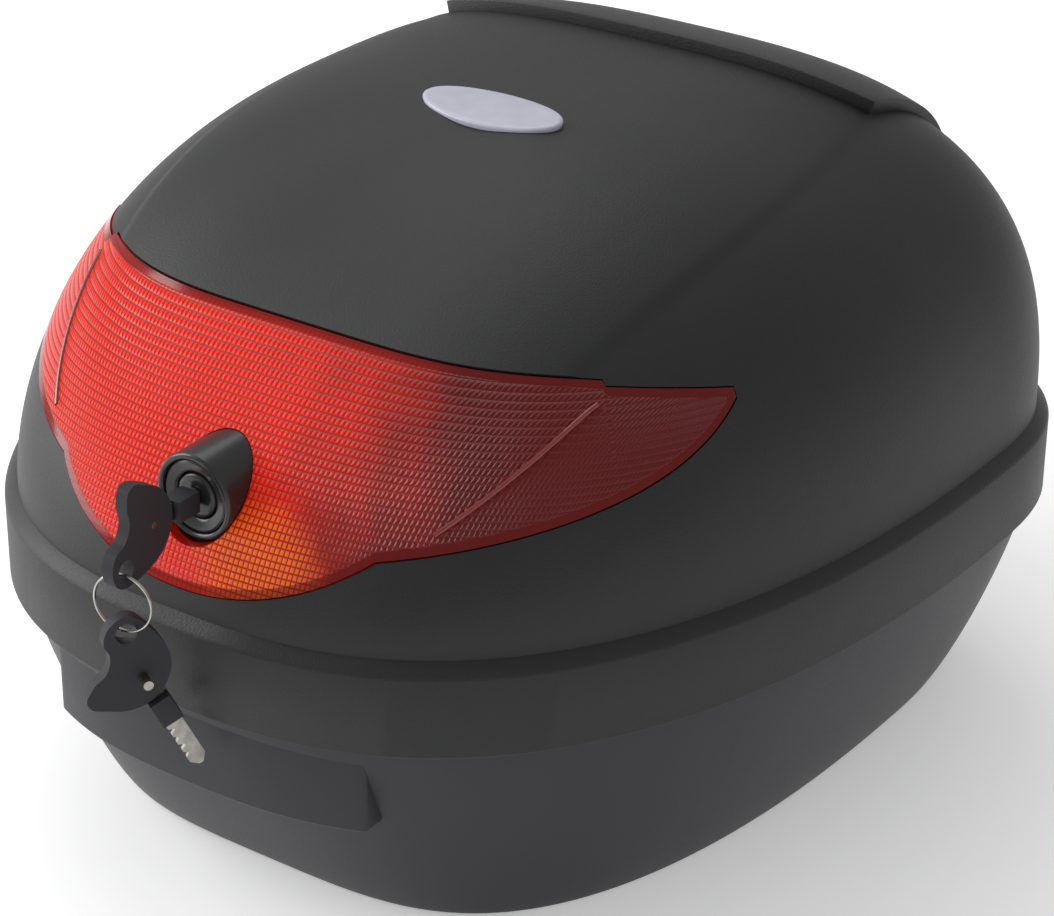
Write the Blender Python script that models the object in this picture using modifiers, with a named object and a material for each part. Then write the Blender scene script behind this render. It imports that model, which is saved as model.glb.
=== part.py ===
"""Motorcycle top case: tapered tub, domed lid with a wrap-round lens, key lock, rear hinges, plate latch.

Metres, +Z up. The origin is on the underside of the tub, on the symmetry plane. The lens and the lock
face -Y, the hinges are at +Y, and the case is symmetric about X = 0 apart from its keys.
"""

import math

import bmesh
import bpy
import numpy as np
from mathutils import Matrix, Vector

# Plan outline of the lid band: a superellipse whose front and rear halves differ.
HALF_WIDTH = 0.200
WIDEST_Y = 0.088
FRONT_REACH = 0.302
REAR_REACH = 0.1256
FRONT_POWERS = (2.60, 2.25)
REAR_POWERS = (2.83, 2.71)
OUTLINE_STEPS = 72

# Lid: band, chamfer and dome.
LID_WALL = 0.003
BAND_BOTTOM_Z = 0.1005
BAND_TOP_Z = 0.1352
CHAMFER_TOP_Z = 0.1400
CHAMFER_INSET = 0.0054
CROWN_Y = 0.015
CROWN_Z = 0.278
DOME_POWERS = (1.60, 2.68, 3.88)
DOME_LEVELS = 10
FLANGE_BOTTOM_Z = 0.1240
FLANGE_THICKNESS = 0.003
FLANGE_REACH = 0.012

# Raised ridge across the rear of the dome.
RIDGE_FRONT_Y = 0.113
RIDGE_HEIGHT = 0.0065
RIDGE_SWEEP = 0.005
RIDGE_HALF_WIDTH = 0.110
RIDGE_FOOT_REACH = 0.970
RIDGE_LANES = 20
RIDGE_LEVELS = 6

# Tub.
TUB_WALL = 0.003
TUB_INSET = 0.0058
TUB_RIM_Z = 0.118
TUB_TAPER_POWER = 1.18
FLOOR_HALF_WIDTH = 0.155
FLOOR_WIDEST_Y = 0.091
FLOOR_FRONT_REACH = 0.2504
FLOOR_REAR_REACH = 0.112
FLOOR_POWERS = (3.61, 2.33)
TUB_LEVELS = 6
BLOCK_HALF_WIDTH = 0.078
BLOCK_BOTTOM_Z = 0.060
BLOCK_TOP_Z = 0.098
BLOCK_INSET = 0.0080
BLOCK_WALL = 0.003

# Seal between the rim and the lid flange.
SEAL_LIP = 0.0010
SEAL_SKIRT_Z = 0.1145
SEAL_TOP_GAP = 0.0004

# Lens, with its lobe, its two wings and the notch between them, as bearings round the crown.
LENS_TOP_Z = 0.2300
LENS_TOP_SAG = 0.0022
LENS_LOBE_Z = 0.1492
LENS_NOTCH_Z = 0.1740
LENS_NOTCH_BEARING = math.radians(21.3)
LENS_STEP_BEARING = math.radians(46.5)
LENS_STEP = 0.0018
LENS_TIP_BEARING = math.radians(64.0)
LENS_TIP_Z = 0.2192
LENS_TIP_HEIGHT = 0.0030
LENS_THICKNESS = 0.0037
LENS_PROUD = 0.0005
LENS_GAP = 0.0005
LENS_ROWS = 6

# Reflector pan behind the lens.
PAN_START = 0.0041
PAN_DEPTH = 0.0125
PAN_WALL = 0.0016
PAN_EDGE_SHARE = 0.50
PAN_RIM_IN = -0.0012
PAN_RIM_OUT = 0.0034
PLATE_BEARING = math.radians(19.0)
PLATE_THICKNESS = 0.0010
LENS_BOSS_BEARING = math.radians(50.5)
LENS_BOSS_SHARE = 0.62
LENS_BOSS_RADIUS = 0.0034
LENS_BOSS_GAP = 0.0016

# Lock, on an axis parallel to Y.
LOCK_Z = 0.1825
LOCK_PROUD = 0.0090
COLLAR_RADIUS = 0.0180
COLLAR_BORE = 0.0152
COLLAR_LENGTH = 0.0450
BARREL_PLUG_BORE = 0.0095
BARREL_RECESS = 0.0006
PLUG_RADIUS = 0.0092
NUT_RADIUS = 0.0208
NUT_THICKNESS = 0.0035
NUT_SEAT = 0.0400
SEAT_WALL = 0.0020
CAM_THICKNESS = 0.0028
CAM_RADIUS = 0.0070
CAM_LOBE_RADIUS = 0.0140
CAM_RISE = 0.0050
CAM_LEAD_ANGLE = math.radians(-64.0)
CAM_END_ANGLE = math.radians(50.0)
TURN_ANGLE = math.radians(90.0)

# Latch hook, its pin and the striker on the tub rim.
HOOK_PIN_Y = -0.176
HOOK_PIN_Z = 0.1315
HOOK_PIN_RADIUS = 0.0020
HOOK_HALF_WIDTH = 0.0030
HOOK_STEM = 0.0080
LEDGE_BOTTOM_Z = 0.1080
LEDGE_THICKNESS = 0.0030
LEDGE_REACH = 0.0060
LEDGE_HALF_WIDTH = 0.0080
TOOTH_CLEARANCE = 0.0004
TOOTH_DROP = 0.0034
EAR_WIDTH = 0.0030
EAR_TOP_Z = 0.1365
EAR_FRONT_INSET = 0.0022

# Rear hinges.
HINGE_X = 0.070
HINGE_DROP = 0.0065
HINGE_OUT = 0.0070
HINGE_RADIUS = 0.0050
HINGE_PIN_RADIUS = 0.0025
LEAF_THICKNESS = 0.0025
LEAF_HALF_WIDTH = 0.0130
KNUCKLE_HALF_WIDTH = 0.0104
EAR_HALF_WIDTH = 0.0148
BRACKET_BOTTOM_Z = 0.068
BRACKET_TOP_Z = 0.096

# Plate latch in the floor of the tub, and the pockets for the plate's hooks.
BOLT_BOTTOM_Z = 0.0033
BOLT_THICKNESS = 0.0055
BOLT_HALF_WIDTH = 0.0210
BOLT_ARM = 0.0060
BOLT_TONGUE = 0.0110
BOLT_TRAVEL = 0.0080
CATCH_FRONT_Y = -0.118
CATCH_LENGTH = 0.0240
CATCH_HALF_WIDTH = 0.0130
KEYWAY_GAP = 0.0004
BOLT_FRONT_Y = -0.1545
TAB_HALF_WIDTH = 0.0110
TAB_FRONT_Y = -0.1540
TAB_BACK_Y = -0.1475
TAB_TOP_Z = 0.0260
COVER_SPRING_ROOM = 0.0160
COVER_TOP_Z = 0.0170
HOOK_SLOT_X = 0.060
HOOK_SLOT_Y = 0.100
HOOK_SLOT_HALF_WIDTH = 0.0140
HOOK_SLOT_LENGTH = 0.0160
HOOK_SLOT_UNDERCUT = 0.0080
HOOK_SLOT_DEPTH = 0.0140
HOOK_SLOT_LIP = 0.0050

# Keys and ring.
KEY_THICKNESS = 0.0055
KEY_HOLE_RADIUS = 0.0042
KEY_PIN_RADIUS = 0.0018
KEY_NECK_HALF = 0.0044
KEY_NECK_START = 0.0125
KEY_NECK_END = 0.0241
KEY_PIVOT_OUT = 0.0249
KEY_PIVOT_UP = 0.0
KEY_BLADE_LENGTH = 0.0240
KEY_BLADE_HEIGHT = 0.0070
KEY_BLADE_THICKNESS = 0.0020
KEY_TANG_RADIUS = 0.0052
KEY_FORK_RADIUS = 0.0062
KEY_FORK_HALF = 0.0120
KEY_HOLE = (-0.0165, -0.0120)
KEY_BOW_OUTLINE = (
    (-0.0120, 0.0200), (-0.0030, 0.0180), (0.0055, 0.0125), (0.0095, 0.0050), (0.0090, -0.0045),
    (0.0050, -0.0115), (-0.0020, -0.0160), (-0.0110, -0.0185), (-0.0195, -0.0185), (-0.0235, -0.0135),
    (-0.0220, -0.0045), (-0.0165, -0.0010), (-0.0135, 0.0055), (-0.0145, 0.0130),
)
RING_RADIUS = 0.0120
RING_WIRE = 0.00075
RING_DROP = 0.0024
RING_TWIST = math.radians(12.0)
SPARE_TWIST = math.radians(57.0)
SPARE_BOW_TURN = math.radians(-142.0)
SPARE_BLADE_TURN = math.radians(-116.0)

# Badge on the dome.
BADGE_HALF_LENGTH = 0.0340
BADGE_HALF_WIDTH = 0.0145
BADGE_Y = -0.0015
BADGE_THICKNESS = 0.0016

# Clearances shared by every pair of pieces.
GAP = 0.0003
PIN_GAP = 0.00015
SCREW_SHANK = 0.0013
SCREW_HEAD = 0.0029
SCREW_HEAD_HEIGHT = 0.0018
SIDES = 20

BLACK = ((0.018, 0.018, 0.019), 0.45, 0.0)
TUB_GREY = ((0.030, 0.030, 0.036), 0.50, 0.0)
RUBBER = ((0.015, 0.015, 0.015), 0.80, 0.0)
RED_LENS = ((0.550, 0.020, 0.015), 0.15, 0.0)
SILVER = ((0.700, 0.680, 0.640), 0.30, 1.0)
STEEL = ((0.560, 0.560, 0.560), 0.30, 1.0)
BADGE_GREY = ((0.480, 0.480, 0.540), 0.35, 0.0)


# ---------------------------------------------------------------- scene and mesh helpers


def clear_scene():
    """Remove every object of the open scene."""
    for item in list(bpy.data.objects):
        bpy.data.objects.remove(item, do_unlink=True)


def collection(name, hidden=False):
    """Add a collection to the scene."""
    group = bpy.data.collections.new(name)
    bpy.context.scene.collection.children.link(group)
    group.hide_render = hidden
    return group


def material(look):
    """Principled material of a (colour, roughness, metallic) look, made once for each look."""
    colour, roughness, metallic = look
    name = "look_%02d_%02d_%02d" % tuple(round(99 * value) for value in colour)
    found = bpy.data.materials.get(name)
    if found:
        return found
    made = bpy.data.materials.new(name)
    made.use_nodes = True
    surface = made.node_tree.nodes["Principled BSDF"]
    surface.inputs["Base Color"].default_value = (*colour, 1.0)
    surface.inputs["Roughness"].default_value = roughness
    surface.inputs["Metallic"].default_value = metallic
    return made


def place(name, mesh, look=None, parent=None):
    """Make a mesh the object of a sub-part, or a hidden cutting tool where it has no look."""
    item = bpy.data.objects.new(name, mesh)
    if look is None:
        TOOLS.objects.link(item)
        item.hide_render = True
        item.display_type = "WIRE"
    else:
        CASE.objects.link(item)
        mesh.materials.append(material(look))
    if parent is not None:
        item.parent = parent
        item.matrix_parent_inverse = parent.matrix_world.inverted()
    return item


def pivot(name, position):
    """Empty that marks a joint's axis, to which the moving pieces are parented."""
    marker = bpy.data.objects.new(name, None)
    marker.location = position
    CASE.objects.link(marker)
    bpy.context.view_layer.update()
    return marker


def finish(name, shape, look=None, parent=None, smooth=True, closed=True):
    """Turn a bmesh into an object, with its faces outwards."""
    if closed:
        bmesh.ops.recalc_face_normals(shape, faces=shape.faces)
    mesh = bpy.data.meshes.new(name)
    shape.to_mesh(mesh)
    shape.free()
    if smooth:
        mesh.shade_smooth()
        mesh.set_sharp_from_angle(angle=math.radians(35))
    return place(name, mesh, look, parent)


def box(name, low, high, look=None, parent=None):
    """Box between two corners."""
    shape = bmesh.new()
    bmesh.ops.create_cube(shape, size=1.0)
    low, high = Vector(low), Vector(high)
    for vertex in shape.verts:
        vertex.co = (low + high) / 2 + Vector(a * b for a, b in zip(vertex.co, high - low))
    return finish(name, shape, look, parent, smooth=False)


def rod(name, start, end, radius, look=None, parent=None, sides=SIDES, end_radius=None):
    """Cylinder or cone between two points."""
    shape = bmesh.new()
    start, end = Vector(start), Vector(end)
    length = (end - start).length
    far = radius if end_radius is None else end_radius
    bmesh.ops.create_cone(
        shape, cap_ends=True, segments=sides, radius1=radius, radius2=far, depth=length
    )
    turn = Vector((0, 0, 1)).rotation_difference(end - start).to_matrix().to_4x4()
    bmesh.ops.transform(shape, matrix=Matrix.Translation((start + end) / 2) @ turn, verts=shape.verts)
    return finish(name, shape, look, parent)


def turned(name, origin, direction, profile, look=None, parent=None, sides=SIDES):
    """Solid of revolution of a closed (radius, height) outline that starts and ends on the axis."""
    shape = bmesh.new()
    turn = Vector((0, 0, 1)).rotation_difference(Vector(direction)).to_matrix().to_4x4()
    rings = []
    for radius, height in profile:
        if radius == 0:
            rings.append([shape.verts.new((0, 0, height))])
            continue
        angles = [2 * math.pi * step / sides for step in range(sides)]
        rings.append([shape.verts.new((radius * math.cos(a), radius * math.sin(a), height)) for a in angles])
    for lower, upper in zip(rings, rings[1:]):
        for step in range(sides):
            after = (step + 1) % sides
            corners = [lower[step % len(lower)], lower[after % len(lower)]]
            corners += [upper[after % len(upper)], upper[step % len(upper)]]
            shape.faces.new(list(dict.fromkeys(corners)))
    bmesh.ops.transform(shape, matrix=Matrix.Translation(origin) @ turn, verts=shape.verts)
    return finish(name, shape, look, parent)


def extruded(name, outline, thickness, frame, look=None, parent=None, smooth_outline=False):
    """Flat outline, centred on its own XY plane, extruded and placed by a matrix."""
    curve = bpy.data.curves.new(name, "CURVE")
    curve.dimensions = "2D"
    curve.fill_mode = "BOTH"
    curve.extrude = thickness / 2
    curve.resolution_u = 3
    if smooth_outline:
        spline = curve.splines.new("BEZIER")
        spline.bezier_points.add(len(outline) - 1)
        for point, (x, y) in zip(spline.bezier_points, outline):
            point.co = (x, y, 0)
            point.handle_left_type = point.handle_right_type = "AUTO"
    else:
        spline = curve.splines.new("POLY")
        spline.points.add(len(outline) - 1)
        for point, (x, y) in zip(spline.points, outline):
            point.co = (x, y, 0, 1)
    spline.use_cyclic_u = True
    holder = bpy.data.objects.new(name + "_outline", curve)
    CASE.objects.link(holder)
    bpy.context.view_layer.update()
    depsgraph = bpy.context.evaluated_depsgraph_get()
    flat = bpy.data.meshes.new_from_object(holder.evaluated_get(depsgraph))
    shape = bmesh.new()
    shape.from_mesh(flat)
    bmesh.ops.remove_doubles(shape, verts=shape.verts, dist=1e-6)
    bmesh.ops.transform(shape, matrix=frame, verts=shape.verts)
    bpy.data.objects.remove(holder)
    bpy.data.meshes.remove(flat)
    return finish(name, shape, look, parent)


def side_frame(x, y, z):
    """Placement of an outline whose first axis runs along +Y, whose second runs up, extruded along X."""
    return Matrix.Translation((x, y, z)) @ Matrix(((0, 0, 1, 0), (1, 0, 0, 0), (0, 1, 0, 0), (0, 0, 0, 1)))


def loft(name, rings, look=None, parent=None, caps=(True, True), closed=True):
    """Skin through closed rings with the same number of points; a cap is a flat end face."""
    shape = bmesh.new()
    rows = [[shape.verts.new(point) for point in ring] for ring in rings]
    for lower, upper in zip(rows, rows[1:]):
        for step in range(max(len(lower), len(upper))):
            corners = [lower[step % len(lower)], lower[(step + 1) % len(lower)]]
            corners += [upper[(step + 1) % len(upper)], upper[step % len(upper)]]
            shape.faces.new(list(dict.fromkeys(corners)))
    if caps[0]:
        shape.faces.new(rows[0][::-1])
    if caps[1]:
        shape.faces.new(rows[-1])
    return finish(name, shape, look, parent, closed=closed)


def slab(name, outer, inner, look=None, parent=None):
    """Closed solid between two grids of points of the same shape."""
    shape = bmesh.new()
    rows, columns = outer.shape[:2]
    skins = [[[shape.verts.new(point) for point in row] for row in grid] for grid in (outer, inner)]
    for row in range(rows - 1):
        for column in range(columns - 1):
            cell = [(row, column), (row, column + 1), (row + 1, column + 1), (row + 1, column)]
            shape.faces.new([skins[0][i][j] for i, j in cell])
            shape.faces.new([skins[1][i][j] for i, j in reversed(cell)])
    border = [(0, j) for j in range(columns)] + [(i, columns - 1) for i in range(1, rows)]
    border += [(rows - 1, j) for j in range(columns - 2, -1, -1)] + [(i, 0) for i in range(rows - 2, 0, -1)]
    for here, there in zip(border, border[1:] + border[:1]):
        corners = [skins[0][here[0]][here[1]], skins[1][here[0]][here[1]]]
        corners += [skins[1][there[0]][there[1]], skins[0][there[0]][there[1]]]
        shape.faces.new(corners)
    return finish(name, shape, look, parent)


def ring_band(name, sections, look=None, parent=None):
    """Band that runs round the case: sections are (inset, height) corners of its closed profile."""
    shape = bmesh.new()
    rows = []
    for inset, height in sections:
        points = outline(EVEN, inset)
        rows.append([shape.verts.new((x, y, height)) for x, y in points])
    for lower, upper in zip(rows, rows[1:] + rows[:1]):
        for step in range(OUTLINE_STEPS):
            after = (step + 1) % OUTLINE_STEPS
            shape.faces.new([lower[step], lower[after], upper[after], upper[step]])
    return finish(name, shape, look, parent)


def boolean(target, tools, operation):
    """Leave a Boolean modifier for each tool on the target."""
    for tool in tools:
        step = target.modifiers.new(operation.lower() + "_" + tool.name[:40], "BOOLEAN")
        step.operation = operation
        step.solver = "EXACT"
        step.object = tool


def cut(target, *tools):
    boolean(target, tools, "DIFFERENCE")


def add(target, *tools):
    boolean(target, tools, "UNION")


def screw(name, head_seat, direction, length, parent=None):
    """Pan-head screw whose head stands on a seat and whose shank points along a direction."""
    profile = [
        (0, length), (SCREW_SHANK * 0.6, length), (SCREW_SHANK, length - SCREW_SHANK), (SCREW_SHANK, -GAP),
        (SCREW_HEAD, -GAP), (SCREW_HEAD, -GAP - SCREW_HEAD_HEIGHT * 0.6),
        (SCREW_HEAD * 0.7, -GAP - SCREW_HEAD_HEIGHT), (0, -GAP - SCREW_HEAD_HEIGHT),
    ]
    return turned(name, head_seat, direction, profile, STEEL, parent, sides=10)


def screw_hole(name, head_seat, direction, length):
    """Clearance hole of a screw, a little longer and wider than its shank."""
    along = Vector(direction).normalized()
    start = Vector(head_seat) - along * 0.004
    return rod(name, start, Vector(head_seat) + along * (length + GAP), SCREW_SHANK + GAP, sides=10)


# ---------------------------------------------------------------- shape of the case


def signed_power(value, power):
    return np.sign(value) * np.abs(value) ** power


def superellipse(t, half_width, centre_y, front, rear, front_powers, rear_powers):
    """Closed plan curve; t is -90 degrees at the front, 0 at +X and 90 degrees at the rear."""
    c, s = np.cos(t), np.sin(t)
    ahead = s < 0
    power_x = np.where(ahead, front_powers[0], rear_powers[0])
    power_y = np.where(ahead, front_powers[1], rear_powers[1])
    x = half_width * signed_power(c, 2 / power_x)
    y = centre_y + np.where(ahead, front, rear) * signed_power(s, 2 / power_y)
    return np.stack([x, y], -1)


def outline(t, inset=0.0):
    """Plan outline of the lid band, moved inwards by an inset."""
    return superellipse(
        t, HALF_WIDTH - inset, WIDEST_Y, FRONT_REACH - inset, REAR_REACH - inset, FRONT_POWERS, REAR_POWERS
    )


def floor_outline(t):
    """Plan outline of the flat underside."""
    return superellipse(
        t, FLOOR_HALF_WIDTH, FLOOR_WIDEST_Y, FLOOR_FRONT_REACH, FLOOR_REAR_REACH, FLOOR_POWERS, FLOOR_POWERS
    )


def even_parameters(count):
    """Parameters of points spaced evenly round the outline, the first at the front centre."""
    fine = np.linspace(-0.5 * math.pi, 1.5 * math.pi, 4001)
    steps = np.linalg.norm(np.diff(outline(fine), axis=0), axis=1)
    travelled = np.concatenate([[0.0], np.cumsum(steps)])
    return np.interp(np.arange(count) / count * travelled[-1], travelled, fine)


def parameter_of_bearing(bearing):
    """Outline parameter of a direction seen from the crown; bearing 0 is -Y and grows towards +X."""
    fine = np.linspace(-math.pi, 0.25 * math.pi, 4001)
    points = outline(fine, CHAMFER_INSET)
    seen = np.unwrap(np.arctan2(points[:, 0], CROWN_Y - points[:, 1]))
    return np.interp(bearing, seen, fine)


def dome_power(t):
    """Exponent of the dome's section: it falls gently at the front and stands up at the rear."""
    front, side, rear = DOME_POWERS
    ahead, astern, across = np.clip(-np.sin(t), 0, 1) ** 2, np.clip(np.sin(t), 0, 1) ** 2, np.cos(t) ** 2
    return front * ahead + rear * astern + side * across


def dome_at_reach(t, reach):
    """Point of the dome at a share of the way from the crown to its foot."""
    power = dome_power(t)
    reach = np.clip(reach, 0, 1)
    foot = outline(t, CHAMFER_INSET)
    rise = (1 - reach**power) ** (1 / power)
    x = foot[..., 0] * reach
    y = CROWN_Y + (foot[..., 1] - CROWN_Y) * reach
    return np.stack([x, y, CHAMFER_TOP_Z + (CROWN_Z - CHAMFER_TOP_Z) * rise], -1)


def dome_at_height(t, z):
    """Point of the dome at a height."""
    power = dome_power(t)
    rise = np.clip((z - CHAMFER_TOP_Z) / (CROWN_Z - CHAMFER_TOP_Z), 0, 1)
    return dome_at_reach(t, (1 - rise**power) ** (1 / power))


def sunk(t, z, depth):
    """Point at a depth below the dome, measured square to it."""
    step = 1e-4
    along = dome_at_height(t + step, z) - dome_at_height(t - step, z)
    up = dome_at_height(t, z + step) - dome_at_height(t, z - step)
    normal = np.cross(along, up)
    normal /= np.linalg.norm(normal, axis=-1, keepdims=True)
    return dome_at_height(t, z) - normal * np.asarray(depth)[..., None]


def front_y(z):
    """Y of the dome's surface on the symmetry plane, at a height on its front."""
    return float(dome_at_height(np.array(-0.5 * math.pi), np.array(z))[1])


def crown_height(x, y):
    """Height of the dome above a plan point."""
    away = math.atan2(y - CROWN_Y, x)
    t = float(np.interp(away % (2 * math.pi), PLAN_ANGLES, PLAN_PARAMETERS))
    foot = outline(np.array(t), CHAMFER_INSET)
    reach = math.hypot(x, y - CROWN_Y) / math.hypot(foot[0], foot[1] - CROWN_Y)
    return float(dome_at_reach(np.array(t), np.array(reach))[2])


def plan_table():
    """Directions from the crown and the outline parameters that lie in them."""
    fine = np.linspace(-0.5 * math.pi, 2.5 * math.pi, 12001)
    points = outline(fine, CHAMFER_INSET)
    seen = np.unwrap(np.arctan2(points[:, 1] - CROWN_Y, points[:, 0]))
    return seen, fine


def tub_ring(level):
    """Ring of the tub's tapered wall; level 0 is its foot and level 1 is under the rim."""
    angle = 0.5 * math.pi * (1 - level)
    share = 1 - math.cos(angle) ** (2 / TUB_TAPER_POWER)
    z = BAND_BOTTOM_Z * (1 - math.sin(angle) ** (2 / TUB_TAPER_POWER))
    rim = outline(EVEN, TUB_INSET)
    plan = rim + (floor_outline(EVEN) - rim) * share
    return np.column_stack([plan, np.full(len(plan), z)])


# ---------------------------------------------------------------- lens outline


def lens_top(bearing):
    away = np.abs(bearing)
    inner = LENS_TOP_Z - LENS_TOP_SAG * np.clip(away / LENS_STEP_BEARING, 0, 1) ** 6
    share = np.clip((away - LENS_STEP_BEARING) / (LENS_TIP_BEARING - LENS_STEP_BEARING), 0, 1)
    start = LENS_TOP_Z - LENS_TOP_SAG - LENS_STEP
    wing = start + (LENS_TIP_Z - start) * share**1.2
    return np.where(away <= LENS_STEP_BEARING, inner, wing)


def lens_bottom(bearing):
    away = np.abs(bearing)
    lobe = LENS_LOBE_Z + (LENS_NOTCH_Z - LENS_LOBE_Z) * np.clip(away / LENS_NOTCH_BEARING, 0, 1) ** 2
    share = np.clip((away - LENS_NOTCH_BEARING) / (LENS_TIP_BEARING - LENS_NOTCH_BEARING), 0, 1)
    tip = LENS_TIP_Z - LENS_TIP_HEIGHT
    wing = LENS_NOTCH_Z + (tip - LENS_NOTCH_Z) * (0.66 * share + 0.34 * share**5)
    return np.where(away <= LENS_NOTCH_BEARING, lobe, wing)


def lens_bearings(limit):
    """Bearings of the lens grid's columns, with one on each notch and each top step."""
    notch, step = LENS_NOTCH_BEARING, LENS_STEP_BEARING
    half = [notch * share for share in (0.25, 0.5, 0.75, 1.0)]
    half += [notch + (step - notch) * share for share in (0.2, 0.4, 0.6, 0.8, 1.0)]
    half += [step + (LENS_TIP_BEARING - step) * share for share in (0.03, 0.25, 0.5, 0.75, 1.0)]
    half = [value for value in half if value < limit - 1e-6] + [limit]
    return np.array([-value for value in reversed(half)] + [0.0] + half)


def lens_grid(grow, depth, limit=LENS_TIP_BEARING, share=(0.0, 1.0), bowl=1.0):
    """Grid of points over the lens outline grown by a margin, at a depth below the dome."""
    bearing = lens_bearings(limit)
    widen = 1 + grow / 0.150 if limit == LENS_TIP_BEARING else 1.0
    across = parameter_of_bearing(bearing * widen)
    bottom, top = lens_bottom(bearing) - grow, lens_top(bearing) + grow
    steps = np.linspace(share[0], share[1], LENS_ROWS + 1)
    rows = []
    for step in steps:
        z = bottom + (top - bottom) * step
        near_edge = min(1.0, 3 * min(step, 1 - step))
        factor = bowl + (1 - bowl) * near_edge
        rows.append(sunk(across, z, np.full(len(z), depth * factor)))
    return np.array(rows)


# ---------------------------------------------------------------- sub-parts


def make_base_shell():
    """Tapered tub with its flat floor, rim and the release block on its front."""
    rings = [tub_ring(step / TUB_LEVELS) for step in range(TUB_LEVELS + 1)]
    rim = outline(EVEN, TUB_INSET)
    rings.append(np.column_stack([rim, np.full(len(rim), TUB_RIM_Z)]))
    shell = loft("base_shell", rings, TUB_GREY, caps=(True, False), closed=False)
    wall = shell.modifiers.new("wall", "SOLIDIFY")
    wall.thickness = TUB_WALL
    wall.offset = -1
    wall.use_even_offset = True
    add(shell, block_solid("block", BLOCK_HALF_WIDTH, BLOCK_INSET, BLOCK_BOTTOM_Z, BLOCK_TOP_Z, 0.018))
    hollow = block_solid(
        "block_hollow", BLOCK_HALF_WIDTH - BLOCK_WALL, BLOCK_INSET + BLOCK_WALL,
        BLOCK_BOTTOM_Z + BLOCK_WALL, BLOCK_TOP_Z - BLOCK_WALL, 0.030,
    )
    cut(shell, hollow)
    for side in (-1, 1):
        add_hook_pocket(shell, side * HOOK_SLOT_X, side)
    for side in (-1, 1):
        centre = side * HINGE_X
        low = (centre - EAR_HALF_WIDTH - 0.002, REAR_Y - 0.016, BRACKET_BOTTOM_Z - 0.002)
        add(shell, box("hinge_boss", low, (centre + EAR_HALF_WIDTH + 0.002, BRACKET_SEAT_Y, BRACKET_TOP_Z)))
    catch = (
        (-CATCH_HALF_WIDTH, CATCH_FRONT_Y, -0.01),
        (CATCH_HALF_WIDTH, CATCH_FRONT_Y + CATCH_LENGTH, TUB_WALL + 0.002),
    )
    cut(shell, box("catch_opening", *catch))
    return shell


def block_solid(name, half_width, inset, low_z, high_z, depth):
    """Upright block that follows the rim's plan curve across the front."""
    fine = np.linspace(-math.pi, 0, 721)
    curve = outline(fine, inset)
    across = np.linspace(-half_width, half_width, 13)
    front = np.interp(across, curve[:, 0], curve[:, 1])
    plan = list(zip(across, front))
    rear_y = float(front[len(front) // 2]) + depth
    plan.append((half_width, max(rear_y, front[-1] + depth * 0.5)))
    plan.append((-half_width, max(rear_y, front[0] + depth * 0.5)))
    rings = [[(x, y, z) for x, y in plan] for z in (low_z, high_z)]
    return loft(name, rings)


def add_hook_pocket(shell, x, side):
    """Pocket in the underside, with an undercut lip that a hook of the mounting plate slides over."""
    label = "left" if side < 0 else "right"
    half = HOOK_SLOT_HALF_WIDTH
    front = HOOK_SLOT_Y - HOOK_SLOT_LENGTH / 2
    back = HOOK_SLOT_Y + HOOK_SLOT_LENGTH / 2
    thick = TUB_WALL
    boss_low = (x - half - thick, front - thick, TUB_WALL / 2)
    boss_high = (x + half + thick, back + HOOK_SLOT_UNDERCUT + thick, HOOK_SLOT_DEPTH + thick)
    add(shell, box("hook_boss_" + label, boss_low, boss_high))
    cut(shell, box("hook_mouth_" + label, (x - half, front, -0.01), (x + half, back, HOOK_SLOT_DEPTH)))
    undercut_back = back + HOOK_SLOT_UNDERCUT
    undercut = ((x - half, back - 0.001, HOOK_SLOT_LIP), (x + half, undercut_back, HOOK_SLOT_DEPTH))
    cut(shell, box("hook_undercut_" + label, *undercut))


def make_rim_seal():
    """Rubber channel that sits over the tub's rim."""
    inner = TUB_INSET + TUB_WALL
    out_lip, in_lip = TUB_INSET - GAP - SEAL_LIP, inner + GAP + SEAL_LIP
    top = FLANGE_BOTTOM_Z - SEAL_TOP_GAP
    sections = [
        (out_lip, SEAL_SKIRT_Z), (TUB_INSET - GAP, SEAL_SKIRT_Z), (TUB_INSET - GAP, TUB_RIM_Z + GAP),
        (inner + GAP, TUB_RIM_Z + GAP), (inner + GAP, SEAL_SKIRT_Z), (in_lip, SEAL_SKIRT_Z), (in_lip, top),
        (out_lip, top),
    ]
    return ring_band("rim_seal", sections, RUBBER)


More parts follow.
